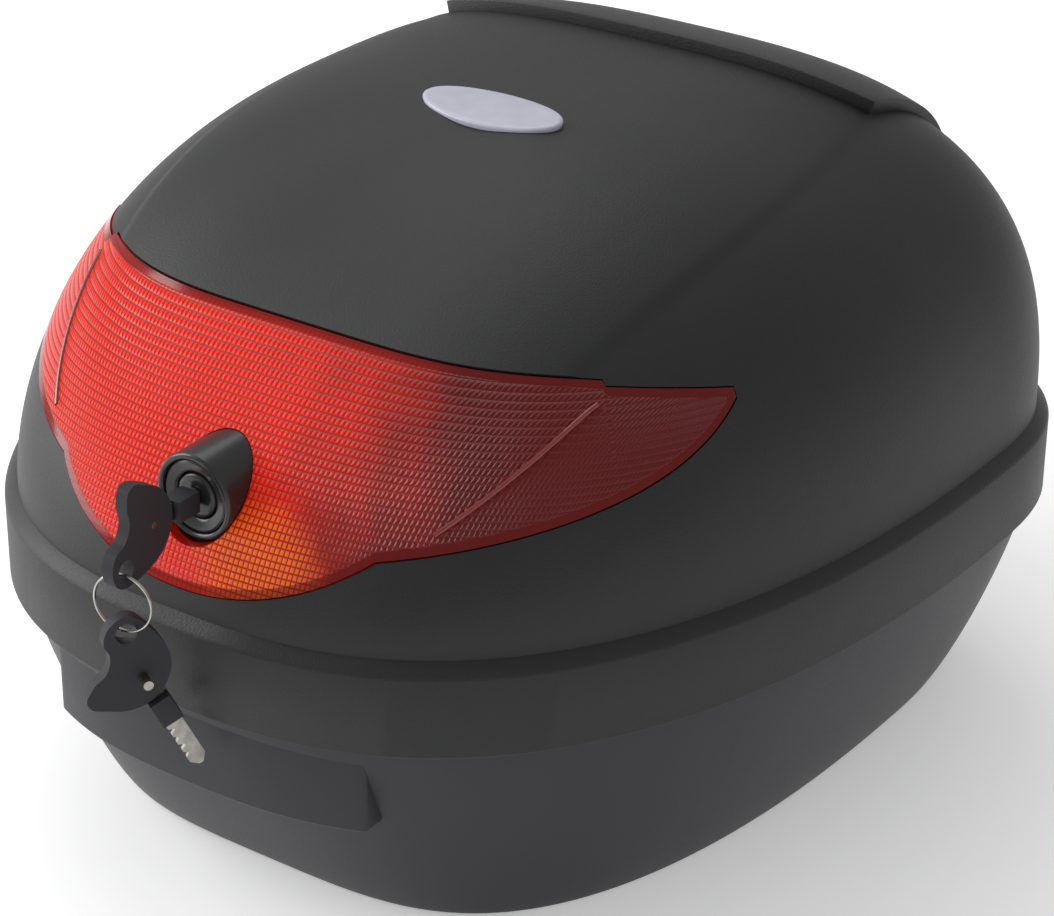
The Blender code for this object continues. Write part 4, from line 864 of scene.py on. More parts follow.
@dataclass(frozen=True)
class LensShape:
    """Outline of the lens as heights over the bearing from the crown, and its depths."""

    case: CaseShape
    top: float = 0.2300
    top_sag: float = 0.0022
    lobe: float = 0.1492
    notch: float = 0.1740
    notch_bearing: float = math.radians(21.3)
    step_bearing: float = math.radians(46.5)
    step: float = 0.0018
    tip_bearing: float = math.radians(64.0)
    tip: float = 0.2192
    tip_height: float = 0.0030

    def upper(self, bearing: np.ndarray) -> np.ndarray:
        """Height of the top edge."""
        away = np.abs(bearing)
        inner = self.top - self.top_sag * np.clip(away / self.step_bearing, 0, 1) ** 6
        share = np.clip((away - self.step_bearing) / (self.tip_bearing - self.step_bearing), 0, 1)
        start = self.top - self.top_sag - self.step
        return np.where(away <= self.step_bearing, inner, start + (self.tip - start) * share**1.2)

    def lower(self, bearing: np.ndarray) -> np.ndarray:
        """Height of the bottom edge."""
        away = np.abs(bearing)
        lobe = self.lobe + (self.notch - self.lobe) * np.clip(away / self.notch_bearing, 0, 1) ** 2
        share = np.clip((away - self.notch_bearing) / (self.tip_bearing - self.notch_bearing), 0, 1)
        end = self.tip - self.tip_height
        wing = self.notch + (end - self.notch) * (0.66 * share + 0.34 * share**5)
        return np.where(away <= self.notch_bearing, lobe, wing)

    def bearings(self, limit: float, columns: int) -> np.ndarray:
        """Bearings of a grid's columns, with one on each notch and both sides of each step."""
        half = np.linspace(0, limit, columns)
        corners = (self.notch_bearing, self.step_bearing, self.step_bearing + 0.006)
        extra = [value for value in corners if value < limit]
        half = np.unique(np.round(np.concatenate([half, extra]), 6))
        return np.concatenate([-half[:0:-1], half])

    def grid(
        self, grow: float, depth: float, columns: int = 70, rows: int = 30, limit: float | None = None,
        span: tuple[float, float] = (0.0, 1.0), edge_share: float = 1.0,
    ) -> np.ndarray:
        """Grid of points over the outline grown by a margin, at a depth below the dome.

        Args:
            grow: Margin added all round.
            depth: Depth below the dome, negative outside it.
            columns: Columns on one side.
            rows: Rows from the bottom edge to the top edge.
            limit: Largest bearing.
            span: Shares of the height that the rows cover.
            edge_share: Share of the depth that the edges have.

        Returns:
            Points in rows.
        """
        limit = limit or self.tip_bearing
        bearing = self.bearings(limit, columns)
        widen = 1 + grow / 0.150 if limit == self.tip_bearing else 1.0
        t = self.case.of_bearing(bearing * widen)
        low, high = self.lower(bearing) - grow, self.upper(bearing) + grow
        found = []
        for step in np.linspace(span[0], span[1], rows + 1):
            z = low + (high - low) * step
            factor = edge_share + (1 - edge_share) * min(1.0, 3 * min(step, 1 - step))
            found.append(self.case.sunk(t, z, np.full(len(z), depth * factor)))
        return np.array(found)


# ---------------------------------------------------------------- sub-assemblies


@dataclass
class Tub:
    """Tapered tub with its rim, the release block and the plate latch below."""

    case: CaseShape
    steps: int = 216
    levels: int = 26
    rim_z: float = 0.118
    block_half_width: float = 0.078
    block_bottom: float = 0.060
    block_top: float = 0.0985
    block_inset: float = 0.0080
    hook_x: float = 0.060
    hook_half: float = 0.014
    hook_front: float = 0.092
    hook_depth: float = 0.024
    catch_half: float = 0.013
    catch_y: tuple[float, float] = (-0.118, -0.094)
    rib_rows: int = 7

    def shell(self) -> bpy.types.Object:
        """Wall and floor with the openings for the plate's hooks and its catch."""
        t = self.case.even(self.steps)
        rings = [self.case.tub_ring(t, step / self.levels) for step in range(self.levels + 1)]
        rim = self.case.outline(t, self.case.tub_inset)
        rings.append(at_level(rim, self.rim_z))
        item = loft("tub_shell", rings, (True, False))
        modify(item, "SOLIDIFY", thickness=self.case.wall, offset=-1.0, use_even_offset=True)
        item = settle(item)
        half, (front, back) = self.catch_half, self.catch_y
        tools = [block("catch_way", (-half, front, -0.01), (half, back, 0.02))]
        for side in (-1, 1):
            x = side * self.hook_x
            low = (x - self.hook_half, self.hook_front, -0.01)
            tools.append(block("hook_way", low, (x + self.hook_half, self.hook_front + 0.016, 0.006)))
        return smooth(carved(item, *tools), 40.0)

    def hook_pocket(self, side: int, label: str) -> bpy.types.Object:
        """Cup over one of the hook slots, inside the tub."""
        x, half, front, wall = side * self.hook_x, self.hook_half, self.hook_front, self.case.wall
        high = (x + half + wall, front + self.hook_depth + wall, 0.014 + wall)
        cup = block("hook_pocket", (x - half - wall, front - wall, wall - 0.0002), high)
        room_high = (x + half, front + self.hook_depth, 0.014)
        cup = carved(cup, block("hook_room", (x - half, front, -0.01), room_high))
        cup.name = "hook_pocket_" + label
        return rounded(cup, 0.0012)

    def release_block(self) -> bpy.types.Object:
        """Raised block on the tub's front, with a slanted back that stays in the wall."""
        fine = np.linspace(-math.pi, 0, 1441)
        across = np.linspace(-self.block_half_width, self.block_half_width, 41)
        rings = []
        for z, back in ((self.block_bottom, 0.0120), (self.block_top, 0.0035)):
            curve = self.case.outline(fine, self.block_inset)
            front = np.interp(across, curve[:, 0], curve[:, 1])
            plan = list(zip(across, front)) + list(zip(across[::-1], front[::-1] + back))
            rings.append(np.array([(x, y, z) for x, y in plan]))
        return rounded(tidy(loft("release_block", rings)), 0.0022, 4, 50.0)

    def floor_ribs(self) -> bpy.types.Object:
        """Rows of low ribs on the tub's floor, as stretched beads."""
        xs = [-0.11, -0.075, -0.04, 0.04, 0.075, 0.11]
        ys = np.linspace(-0.055, 0.065, self.rib_rows)
        points = [(x, y, self.case.wall) for y in ys for x in xs]
        columns = len(xs)
        host = object_from("floor_ribs", points, grid_faces(len(ys), columns, False))
        return Scatter("floor_ribs", Finish.TUB, 0.022, 0.004, 0.003).build(host)

    def build(self) -> None:
        """Make, dress and place every piece of the tub."""
        pieces = [self.shell(), self.release_block()]
        for side, label in SIDES:
            pieces += [self.hook_pocket(side, label), self.hinge_boss(label)]
        for item in (*pieces, self.floor_ribs()):
            show(item, Finish.TUB, "tub", "tub_plastic", "base_shell")
        for item in (self.tab(), self.tab_grip()):
            show(item, Finish.TAB, "plate_latch", "tab_red", "release_tab")

    def hinge_boss(self, label: str) -> bpy.types.Object:
        """Flat boss that carries a hinge bracket."""
        low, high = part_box("hinge_bracket_" + label)
        corners = ((low[0] - 0.002, high[1] - 0.0285, low[2] - 0.002), (high[0] + 0.002, 0.2071, 0.096))
        return rounded(block("hinge_boss_" + label, *corners), 0.0014)

    def tab(self) -> bpy.types.Object:
        """Thumb tab of the plate latch, inside the tub, with rounded edges."""
        low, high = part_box("release_tab")
        return rounded(block("tab_body", low, high), 0.0014, 4)

    def tab_grip(self) -> bpy.types.Object:
        """Raised grip bars across the tab's front."""
        low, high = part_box("release_tab")
        rows = np.linspace(low[2] + 0.004, high[2] - 0.003, 5)
        points = [(x, low[1] + 0.0002, z) for z in rows for x in (-0.0035, 0.0035)]
        host = object_from("tab_grip", points, grid_faces(len(rows), 2, False))
        return Scatter("tab_grip", Finish.TAB, 0.0060, 0.0013, 0.0010).build(host)


@dataclass
class Lid:
    """Domed lid: band, chamfer, dome, raised centre panel, rear ridge and badge."""

    case: CaseShape
    lens: LensShape
    steps: int = 320
    levels: int = 80
    ridge_front: float = 0.113
    ridge_height: float = 0.0065
    ridge_half_width: float = 0.110
    pad_y: tuple[float, float] = (0.2092, 0.2126)
    pad_z: tuple[float, float] = (0.1015, 0.1322)
    ear_x: tuple[float, float] = (0.0033, 0.0063)
    ear_y: tuple[float, float] = (-0.2118, -0.1710)
    ear_z: tuple[float, float] = (0.1255, 0.1365)

    def shell(self) -> bpy.types.Object:
        """Skin of the lid with the lens aperture cut through."""
        t = self.case.even(self.steps)
        corner = 0.0011
        band = (
            (0.0006, self.case.band_bottom), (0.0, self.case.band_bottom + 0.0008),
            (0.0, self.case.band_top - corner), (0.0004, self.case.band_top),
            (0.0013, self.case.band_top + corner), (0.0040, self.case.chamfer_top - 0.0010),
        )
        rings = [at_level(self.case.outline(t, inset), z) for inset, z in band]
        power = self.case.power(t)
        for level in range(self.levels):
            angle = 0.5 * math.pi * level / self.levels
            reach = np.cos(angle) ** (2 / power)
            rings.append(self._raised(t, reach))
        tip_point = np.array([[0, self.case.crown_y, self.case.crown_z + self.case.panel_raise]])
        points = np.concatenate(rings + [tip_point])
        faces = grid_faces(len(rings), self.steps, True)
        last, tip = (len(rings) - 1) * self.steps, len(points) - 1
        faces += [(last + step, last + (step + 1) % self.steps, tip) for step in range(self.steps)]
        item = object_from("lid_skin", points, faces)
        modify(item, "SOLIDIFY", thickness=self.case.wall, offset=-1.0, use_even_offset=True)
        item = settle(item)
        hole = slab("aperture", self.lens.grid(0.0005, -0.008, 60, 8), self.lens.grid(0.0005, 0.0066, 60, 8))
        return smooth(carved(item, hole), 38.0)

    def _raised(self, t: np.ndarray, reach: np.ndarray) -> np.ndarray:
        """Ring of the dome, with the centre panel raised square to it."""
        here = self.case.dome(t, reach)
        step = 1e-4
        along = self.case.dome(t + step, reach) - self.case.dome(t - step, reach)
        inwards = self.case.dome(t, reach - step) - self.case.dome(t, reach + step)
        normal = np.cross(along, inwards)
        normal /= np.maximum(np.linalg.norm(normal, axis=-1, keepdims=True), 1e-12)
        return here + normal * (self.case.panel(here) * self.case.panel_raise)[..., None]

    def ridge(self) -> bpy.types.Object:
        """Raised ridge across the rear of the dome, rounded along its step and ends."""
        lanes, levels = 60, 22
        top, bottom = [], []
        fine = np.linspace(0.0, math.pi, 4001)
        foot = self.case.outline(fine, self.case.chamfer_inset)
        lane = np.linspace(-1, 1, lanes + 1)
        x_end = lane * self.ridge_half_width * 1.05
        y_end = np.interp(-x_end, -foot[:, 0], foot[:, 1])
        start = np.column_stack([lane * self.ridge_half_width, self.ridge_front + 0.005 * lane**6])
        crown = np.array([0.0, self.case.crown_y])
        end = crown + (np.column_stack([x_end, y_end]) - crown) * 0.97
        for level in range(levels + 1):
            share = level / levels
            plan = start + (end - start) * math.sin(0.5 * math.pi * share)
            x, y = plan[:, 0], plan[:, 1]
            z, step = self.case.plan_height(x, y), 2e-4
            slope_x = (self.case.plan_height(x + step, y) - self.case.plan_height(x - step, y)) / (2 * step)
            slope_y = (self.case.plan_height(x, y + step) - self.case.plan_height(x, y - step)) / (2 * step)
            normal = np.column_stack([-slope_x, -slope_y, np.ones_like(z)])
            normal /= np.linalg.norm(normal, axis=1, keepdims=True)
            here = np.column_stack([x, y, z])
            lift = self.ridge_height * (1 - share) ** 0.8 - 0.0004 * share
            top.append(here + normal * lift)
            bottom.append(here - normal * 0.0015)
        item = slab("rear_ridge", np.array(top), np.array(bottom))
        return rounded(item, 0.0022, 4, 45.0)

    def flange(self) -> bpy.types.Object:
        """Inner flange that presses on the seal."""
        t = self.case.even(self.steps)
        sections = ((0.0015, 0.124), (0.0120, 0.124), (0.0120, 0.127), (0.0015, 0.127), (0.0015, 0.124))
        rings = [at_level(self.case.outline(t, inset), z) for inset, z in sections]
        return smooth(tidy(loft("lid_flange", rings, (False, False))))

    def badge(self) -> bpy.types.Object:
        """Blank oval badge on a smooth surface fitted to the top, with a rounded rim."""
        angles = np.linspace(0, 2 * math.pi, 96, endpoint=False)
        half, width, centre_y = 0.0340, 0.0145, -0.0015
        share = np.sqrt(np.linspace(0.02, 1, 12))[:, None]
        x = (half * share * np.cos(angles)).ravel()
        y = (width * share * np.sin(angles)).ravel()
        terms = np.column_stack([np.ones_like(x), y, x * x, y * y])
        fitted = np.linalg.lstsq(terms, self.case.plan_height(x, y + centre_y), rcond=None)[0]
        profile = (
            (-0.0006, -0.0010), (0.0, 0.0012), (-0.0003, 0.0018), (-0.0010, 0.0022), (-0.0022, 0.0022),
            (-0.0050, 0.0021), (-0.0100, 0.0021),
        )
        rings = []
        for grow, lift in profile:
            px, py = (half + grow) * np.cos(angles), (width + grow) * np.sin(angles)
            height = np.column_stack([np.ones_like(px), py, px * px, py * py]) @ fitted
            rings.append(np.column_stack([px, py + centre_y, height + lift + self.case.panel_raise]))
        return smooth(tidy(loft("badge_oval", rings)), 50.0)

    def small_parts(self) -> list[bpy.types.Object]:
        """Pads for the hinge leaves and ears for the latch pin."""
        made = []
        for side, label in SIDES:
            low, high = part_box("hinge_leaf_" + label)
            corners = zip((low[0] - 0.001, high[0] + 0.001), self.pad_y, self.pad_z)
            made.append(rounded(block("leaf_pad_" + label, *corners), 0.0012))
            corners = zip(sorted(side * x for x in self.ear_x), self.ear_y, self.ear_z)
            made.append(rounded(block("latch_ear_" + label, *corners), 0.0006))
        return made

    def build(self) -> None:
        """Make, dress and place every piece of the lid."""
        for item in (self.shell(), self.ridge(), self.flange(), *self.small_parts()):
            show(item, Finish.LID, "lid", "lid_plastic", "lid_shell")
        show(self.badge(), Finish.BADGE, "lid", "badge_grey", "badge")


@dataclass
class LensUnit:
    """Red lens, its ribs and bosses, and the silvered reflector behind its middle."""

    case: CaseShape
    lens: LensShape
    proud: float = 0.0005
    thickness: float = 0.0034
    lock_clear: float = 0.0183

    def lock_way(self, radius: float) -> bpy.types.Object:
        """Cutting tool along the lock's axis."""
        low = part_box("lock_collar")[0]
        return rod("lock_way", (0, low[1] - 0.01, Lock.z), (0, 1, 0), radius, 0.07, 64)

    def skin(self) -> bpy.types.Object:
        """Lens with its smooth border, its rim distance stored on its points and a flat map over it."""
        outer = self.lens.grid(0.0, -self.proud, 84, 34)
        inner = self.lens.grid(0.0, self.thickness - self.proud, 84, 34)
        rows, columns = outer.shape[:2]
        across = np.zeros((rows, columns))
        across[:, 1:] = np.cumsum(np.linalg.norm(np.diff(outer, axis=1), axis=2), axis=1)
        across -= across[:, columns // 2][:, None]
        up = np.zeros((rows, columns))
        up[1:] = np.cumsum(np.linalg.norm(np.diff(outer, axis=0), axis=2), axis=0)
        total = up[-1]
        ends = np.minimum(np.arange(columns), np.arange(columns)[::-1])[None, :] * 0.002
        rim = np.minimum(np.minimum(up, total[None, :] - up), ends)
        item = object_from(
            "lens_skin", np.concatenate([outer.reshape(-1, 3), inner.reshape(-1, 3)]),
            slab_faces(rows, columns),
        )
        mesh = item.data
        store = mesh.attributes.new("rim", "FLOAT", "POINT")
        store.data.foreach_set("value", np.concatenate([rim.ravel(), rim.ravel()]))
        chart = mesh.uv_layers.new(name="UVMap")
        corners = np.zeros(len(mesh.loops), int)
        mesh.loops.foreach_get("vertex_index", corners)
        flat = np.stack([np.tile(across.ravel(), 2), np.tile(outer[..., 2].ravel(), 2)], 1)
        chart.data.foreach_set("uv", flat[corners].ravel())
        return smooth(carved(item, self.lock_way(self.lock_clear)), 40.0)

    def on_lens(self, bearing: float, z: float, depth: float) -> Vector:
        """Point at a bearing, a height and a depth below the dome."""
        t = self.case.of_bearing(np.array(bearing))
        return Vector(self.case.sunk(t, np.array(z), np.array(depth)))

    def ribs(self) -> list[bpy.types.Object]:
        """Slanted rib that parts each wing from the middle, just behind the lens."""
        made = []
        for side, label in SIDES:
            path = []
            for share in np.linspace(0, 1, 24):
                bearing = math.radians(45.5 - 18.5 * share)
                z = 0.2215 - 0.0375 * share**1.15
                path.append(self.on_lens(side * bearing, z, -0.0002))
            made.append(wire("lens_rib_" + label, path, 0.0011))
        return made

    def bosses(self) -> list[bpy.types.Object]:
        """Dark clips and screw posts seen through the lens."""
        post = [(0, 0), (0.0034, 0), (0.0034, 0.0066), (0.0024, 0.0072), (0, 0.0072)]
        clip = [(0, 0), (0.0040, 0), (0.0040, 0.0030), (0.0030, 0.0038), (0, 0.0038)]
        kinds = (
            ("lens_post_", 50.5, 0.2155, (0.0032, 0.0108), post),
            ("lens_clip_", 10.0, 0.2235, (0.0036, 0.0080), clip),
        )
        made = []
        for side, label in SIDES:
            for name, degrees, z, depths, profile in kinds:
                near, far = (self.on_lens(side * math.radians(degrees), z, depth) for depth in depths)
                made.append(turned(name + label, far, near - far, profile, 32))
        return made

    def facets(self) -> bpy.types.Object:
        """Small domes over the silvered plate that break up its light."""
        surface = self.lens.grid(0.0, 0.0112, 9, 16, math.radians(17.5), (0.20, 0.80), 0.5)
        rows, columns = surface.shape[:2]
        points = surface.reshape(-1, 3)
        away = np.hypot(points[:, 0], points[:, 2] - Lock.z) > 0.0245
        keep = np.flatnonzero(away)
        index = {int(old): new for new, old in enumerate(keep)}
        faces = [face for face in grid_faces(rows, columns, False) if index.keys() >= set(face)]
        used = sorted({corner for face in faces for corner in face})
        index = {old: new for new, old in enumerate(used)}
        host = object_from("reflector_facets", points[used], [[index[c] for c in face] for face in faces])
        return Scatter("reflector_facets", Finish.MIRROR, 0.0066, 0.0032, 0.0022).build(host)

    def build(self) -> None:
        """Make, dress and place every piece of the lens unit."""
        show(self.skin(), Finish.LENS, "lid", "lens_red", "lens")
        for item in self.ribs():
            show(item, Finish.CLEAR_RED, "lid", "lens_red", "lens")
        for item in self.bosses():
            show(item, Finish.INNER, "lid", "inner_plastic", "lens")
        show(self.facets(), Finish.MIRROR, "lid", "reflector_silver", "reflector_plate")


@dataclass
class Lock:
    """Black collar with a rounded rim, a glossy face ring and the plug with its keyway."""

    z: float = 0.1825
    radius: float = 0.0180
    bore: float = 0.0152
    front: float = field(default_factory=lambda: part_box("lock_collar")[0][1])

    def collar(self) -> bpy.types.Object:
        """Tube with a full round at its rim."""
        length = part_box("lock_collar")[1][1] - self.front
        lip = (self.radius - self.bore) / 2
        turns = np.linspace(0, math.pi, 13)[1:-1]
        arc = [(self.bore + lip - lip * math.cos(turn), lip - lip * math.sin(turn)) for turn in turns]
        profile = [(self.bore, length), (self.bore, lip), *arc, (self.radius, lip), (self.radius, length)]
        return smooth(turned("lock_tube", (0, self.front, self.z), (0, 1, 0), profile, 96), 50.0)

    def face(self) -> bpy.types.Object:
        """Fixed face ring round the plug, dished towards its middle."""
        edge, inner = self.bore - 0.0003, 0.0096
        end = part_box("lock_barrel")[1][1] - self.front
        profile = [
            (inner, end), (inner, 0.0030), (inner + 0.0006, 0.0022), (inner + 0.0016, 0.0019),
            (edge - 0.0022, 0.0013), (edge - 0.0010, 0.0010), (edge - 0.0002, 0.0014),
            (edge, 0.0022), (edge, end),
        ]
        return smooth(turned("lock_face", (0, self.front, self.z), (0, 1, 0), profile, 96), 40.0)

    def plug(self) -> bpy.types.Object:
        """Turning plug with its keyway."""
        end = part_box("lock_plug")[1][1] - self.front
        profile = [
            (0, 0.0016), (0.0070, 0.0016), (0.0084, 0.0018), (0.0090, 0.0024), (0.0092, 0.0034),
            (0.0092, end), (0, end),
        ]
        item = turned("lock_core", (0, self.front, self.z), (0, 1, 0), profile, 72)
        half, rise = 0.0014, 0.0039
        high = (half, self.front + 0.025, self.z + rise)
        slot = block("key_slot", (-half, self.front - 0.01, self.z - rise), high)
        return smooth(carved(item, slot), 40.0)

    def build(self) -> None:
        """Make, dress and place the lock."""
        show(self.collar(), Finish.LOCK, "lid", "lock_black", "lock_collar")
        show(self.face(), Finish.LOCK, "lid", "lock_black", "lock_barrel")
        show(self.plug(), Finish.LOCK, "plug", "lock_metal", "lock_plug")


class Turn(Enum):
    """Rest turns of the bow and the blade of each key about its fold, in degrees."""

    KEY = (0.0, 0.0)
    SPARE = (-142.0, -116.0)


@dataclass
class FoldingKey:
    """Key with a black folding bow, a square neck and a cut steel blade."""

    label: str
    fold: Vector
    facing: Matrix
    turns: Turn
    head_body: str
    shank_body: str
    hole: tuple[float, float] = (-0.0165, -0.0120)
    hole_radius: float = 0.0042
    thickness: float = 0.0055
    pivot_out: float = 0.0249
    blade: tuple[float, float, float] = (0.0240, 0.0070, 0.0020)
    neck_reach: tuple[float, float] = (0.0125, 0.0241)
    neck_half: float = 0.0044
    root_radius: float = 0.0062
    tang_radius: float = 0.0052
    bore_radius: float = 0.00195
    outline: tuple[tuple[float, float], ...] = (
        (-0.0120, 0.0200), (-0.0030, 0.0180), (0.0055, 0.0125), (0.0095, 0.0050), (0.0090, -0.0045),
        (0.0050, -0.0115), (-0.0020, -0.0160), (-0.0110, -0.0185), (-0.0195, -0.0185), (-0.0235, -0.0135),
        (-0.0220, -0.0045), (-0.0165, -0.0010), (-0.0135, 0.0055), (-0.0145, 0.0130),
    )

    def _place(self, degrees: float) -> Matrix:
        """Placement of an outline in the key's plane, turned about the fold."""
        side = Matrix(((0, 0, 1, 0), (1, 0, 0, 0), (0, 1, 0, 0), (0, 0, 0, 1)))
        turn = Matrix.Rotation(math.radians(degrees), 4, "X")
        return Matrix.Translation(self.fold) @ self.facing @ turn @ side

    @staticmethod
    def _along(place: Matrix) -> Vector:
        """Direction of the fold's axis."""
        return (place.to_3x3() @ Vector((0, 0, 1))).normalized()

    def bow(self) -> bpy.types.Object:
        """Pillowed bow with its eye and its slot for the blade."""
        place = self._place(self.turns.value[0])
        item = plate(self.label + "_bow_body", self.outline, self.thickness, place, True)
        along = self._along(place)
        eye = place @ Vector((*self.hole, 0))
        hole = rod("eye", eye - along * 0.01, along, self.hole_radius, 0.02)
        slot = block("fork", (0.0, -0.0120, -0.0013), (0.030, 0.0120, 0.0013))
        slot.data.transform(place)
        root = rod("fork_root", place @ Vector((0, 0, -0.0013)), along, self.root_radius, 0.0026)
        return rounded(carved(item, hole, slot, root), 0.0011, 4, 50.0)

    def shank(self) -> bpy.types.Object:
        """Blade with its cuts and a milled groove."""
        place = self._place(self.turns.value[1])
        length, height, thick = self.blade
        rise, tip = height / 2, self.pivot_out + length
        outline = [
            (0.0, -rise), (tip - 0.0035, -rise), (tip, -rise * 0.3), (tip, rise * 0.2), (tip - 0.0030, rise),
        ]
        x = tip - 0.0056
        for depth in (0.55, 0.35, 0.6, 0.4):
            low = rise * depth
            outline += [(x, rise), (x - 0.0012, low), (x - 0.0018, low), (x - 0.0030, rise)]
            x -= 0.0042
        outline.append((0.0, rise))
        item = plate(self.label + "_blade_body", outline, thick, place, False)
        along = self._along(place)
        tang = rod("tang", self.fold - along * thick / 2, along, self.tang_radius, thick)
        modify(item, "BOOLEAN", operation="UNION", solver="EXACT", object=tang)
        item = settle(item)
        bpy.data.objects.remove(tang)
        bore = rod("bore", self.fold - along * 0.01, along, self.bore_radius, 0.02, 32)
        groove = block("groove", (0.014, -0.0008, thick / 2 - 0.0004), (tip - 0.003, 0.0008, thick))
        groove.data.transform(place)
        return rounded(carved(item, bore, groove), 0.00015, 2, 40.0)

    def neck(self) -> bpy.types.Object:
        """Square plastic neck round the blade."""
        place = self._place(self.turns.value[1])
        half, thick = self.neck_half, self.blade[2] / 2 + 0.0003
        rise, (start, end) = self.blade[1] / 2 + 0.0003, self.neck_reach
        item = block(self.label + "_neck_body", (start, -half, -half), (end, half, half))
        way = block("neck_way", (0.0, -rise, -thick), (0.05, rise, thick))
        item = carved(item, way)
        item.data.transform(place)
        item.name = self.label + "_neck_body"
        return rounded(item, 0.0009, 4, 50.0)

    def pin(self) -> bpy.types.Object:
        """Steel pin of the fold with domed ends."""
        place = self._place(0.0)
        along = self._along(place)
        half = self.thickness / 2
        end = self.thickness
        profile = [
            (0, -0.0002), (0.0013, -0.0001), (0.0018, 0.0004), (0.0018, end - 0.0004),
            (0.0013, end + 0.0001), (0, end + 0.0002),
        ]
        return smooth(turned(self.label + "_pin_body", self.fold - along * half, along, profile, 32), 40.0)

    def build(self) -> None:
        """Make, dress and place the key."""
        show(self.bow(), Finish.KEY_BLACK, self.head_body, "key_black", self.label + "_bow")
        show(self.neck(), Finish.KEY_BLACK, self.shank_body, "key_black", self.label + "_neck")
        show(self.shank(), Finish.KEY_STEEL, self.shank_body, "key_steel", self.label + "_blade")
        show(self.pin(), Finish.PLUG, self.head_body, "key_steel", self.label + "_pin")


@dataclass
class KeyRing:
    """Split ring of two turns of thin wire."""

    top: Vector
    twist: float = math.radians(12.0)
    radius: float = 0.0120
    gauge: float = 0.00044
    drop: float = 0.0024

    def build(self) -> None:
        """Make, dress and place the ring."""
        points = []
        for step in range(161):
            angle = math.radians(200) + 4 * math.pi * step / 160
            aside = (step / 160 - 0.5) * 0.0011
            across = self.radius * math.sin(angle)
            up = self.radius * (math.cos(angle) - 1)
            x = across * math.cos(self.twist) - aside * math.sin(self.twist)
            y = across * math.sin(self.twist) + aside * math.cos(self.twist)
            points.append(self.top + Vector((x, y, up)))
        show(wire("split_ring", points, self.gauge), Finish.WIRE, "ring", "key_steel", "key_ring")


@dataclass
class Hardware:
    """Finishes of the CAD nodes that stay as they are."""

    finishes: dict[Finish, Sequence[str]]

    def build(self) -> None:
        """Give each node its finish."""
        for finish, prefixes in self.finishes.items():
            for name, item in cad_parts.items():
                if not name.startswith(tuple(prefixes)):
                    continue
                item.data.materials.clear()
                item.data.materials.append(finish.material())
                LOG.info("%s wears %s", name, finish.value.name)


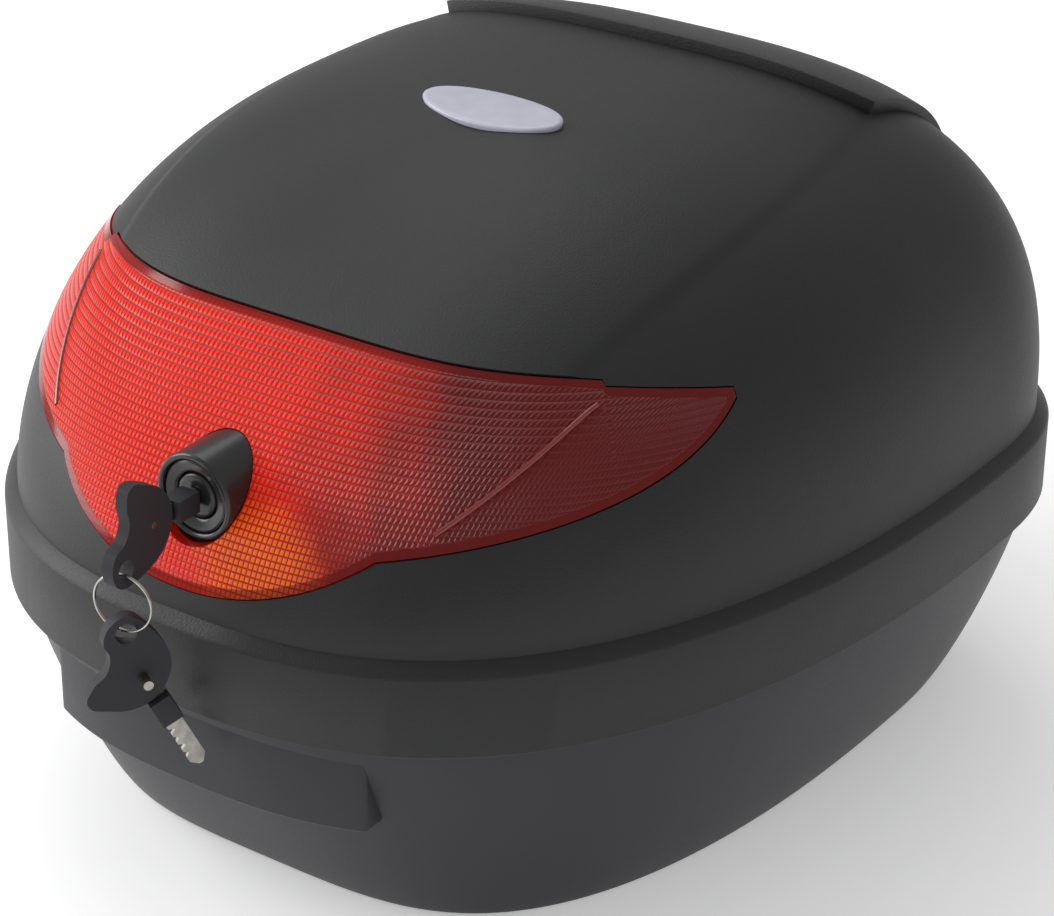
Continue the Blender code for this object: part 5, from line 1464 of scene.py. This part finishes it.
@dataclass
class Studio:
    """Floor, soft lights, world and the camera."""

    azimuth: float = math.radians(35.13)
    elevation: float = math.radians(25.67)
    roll: float = math.radians(0.28)
    distance: float = 1.3594
    target: tuple[float, float, float] = (0.0, 0.0142, 0.150)
    lens: float = 107.64
    shift: tuple[float, float] = (0.0133, -0.0740)

    def camera(self) -> None:
        """Put the camera at the viewing angle."""
        level = math.cos(self.elevation)
        side, back = math.sin(self.azimuth) * level, -math.cos(self.azimuth) * level
        away = Vector((side, back, math.sin(self.elevation)))
        data = bpy.data.cameras.new("camera")
        data.lens, data.sensor_width = self.lens, 36.0
        data.shift_x, data.shift_y = self.shift
        data.clip_end = 50.0
        item = linked("camera", data)
        item.location = Vector(self.target) + away * self.distance
        turn = (-away).to_track_quat("-Z", "Y").to_matrix() @ Matrix.Rotation(self.roll, 3, "Z")
        item.rotation_euler = turn.to_euler()
        bpy.context.scene.camera = item

    @staticmethod
    def light(name: str, place: Point, aim: Point, size: float, power: float) -> None:
        """Add a soft rectangular light that points at a place."""
        data = bpy.data.lights.new(name, "AREA")
        data.shape = "RECTANGLE"
        data.size = data.size_y = size
        data.energy = power
        item = linked(name, data)
        item.location = place
        item.rotation_euler = (Vector(aim) - Vector(place)).to_track_quat("-Z", "Y").to_euler()

    def build(self) -> None:
        """Make the floor, the lights, the world and the camera."""
        floor = object_from("floor", [(-6, -6, 0), (6, -6, 0), (6, 6, 0), (-6, 6, 0)], [(0, 1, 2, 3)])
        floor.location.z = -0.0005
        shader = Shader("pale_floor")
        speck = shader.noise(3.0, 2.0)
        shader.dress(Base_Color=shader.mix(speck, (0.93, 0.93, 0.93), (0.96, 0.96, 0.96)), Roughness=0.65)
        shader.dress(Emission_Color=(1.0, 1.0, 1.0), Emission_Strength=0.30)
        floor.data.materials.append(shader.material)
        middle = (0, 0, 0.15)
        self.light("key_light", (-2.0, -0.9, 1.2), middle, 1.7, 46.0)
        self.light("top_light", (-0.9, 0.7, 2.1), middle, 1.4, 9.0)
        world = bpy.data.worlds.new("studio")
        world.use_nodes = True
        world.node_tree.nodes["Background"].inputs[0].default_value = (1.0, 1.0, 1.0, 1.0)
        world.node_tree.nodes["Background"].inputs[1].default_value = 0.50
        bpy.context.scene.world = world
        bpy.context.scene.view_settings.view_transform = "Standard"
        self.camera()


def keys() -> None:
    """Build the key in the lock, the split ring and the spare key."""
    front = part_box("lock_collar")[0][1]
    fold = Vector((0, front - FoldingKey.pivot_out, Lock.z))
    key = FoldingKey("key", fold, Matrix.Identity(4), Turn.KEY, "key_head", "key_shank")
    key.build()
    top = fold + Vector((0, key.hole[0], key.hole[1] - KeyRing.drop))
    KeyRing(top).build()
    eye = top - Vector((0, 0, 2 * KeyRing.radius))
    facing = Matrix.Rotation(SPARE_TWIST + 0.5 * math.pi, 4, "Z")
    bow_turn = Matrix.Rotation(math.radians(Turn.SPARE.value[0]), 4, "X")
    spare_fold = eye - (facing @ bow_turn) @ Vector((0, *key.hole))
    FoldingKey("spare_key", spare_fold, facing, Turn.SPARE, "spare_head", "spare_shank").build()


def main() -> None:
    """Build the looks of the whole case."""
    logging.basicConfig(level=logging.INFO, format="%(name)s: %(message)s")
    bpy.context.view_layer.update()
    Studio().build()
    case = CaseShape()
    lens = LensShape(case)
    Tub(case).build()
    Lid(case, lens).build()
    LensUnit(case, lens).build()
    Lock().build()
    keys()
    Hardware({
        Finish.ZINC: (
            "hinge_", "leaf_screw", "bracket_screw", "striker", "cover_screw", "lens_screw", "latch_",
            "plate_bolt",
        ),
        Finish.INNER: ("mechanism_cover", "reflector_pan", "lock_nut"),
        Finish.MIRROR: ("reflector_plate",),
        Finish.SEAL: ("rim_seal",),
        Finish.PLUG: ("lock_cam",),
    }).build()


if __name__ == "__main__":
    main()
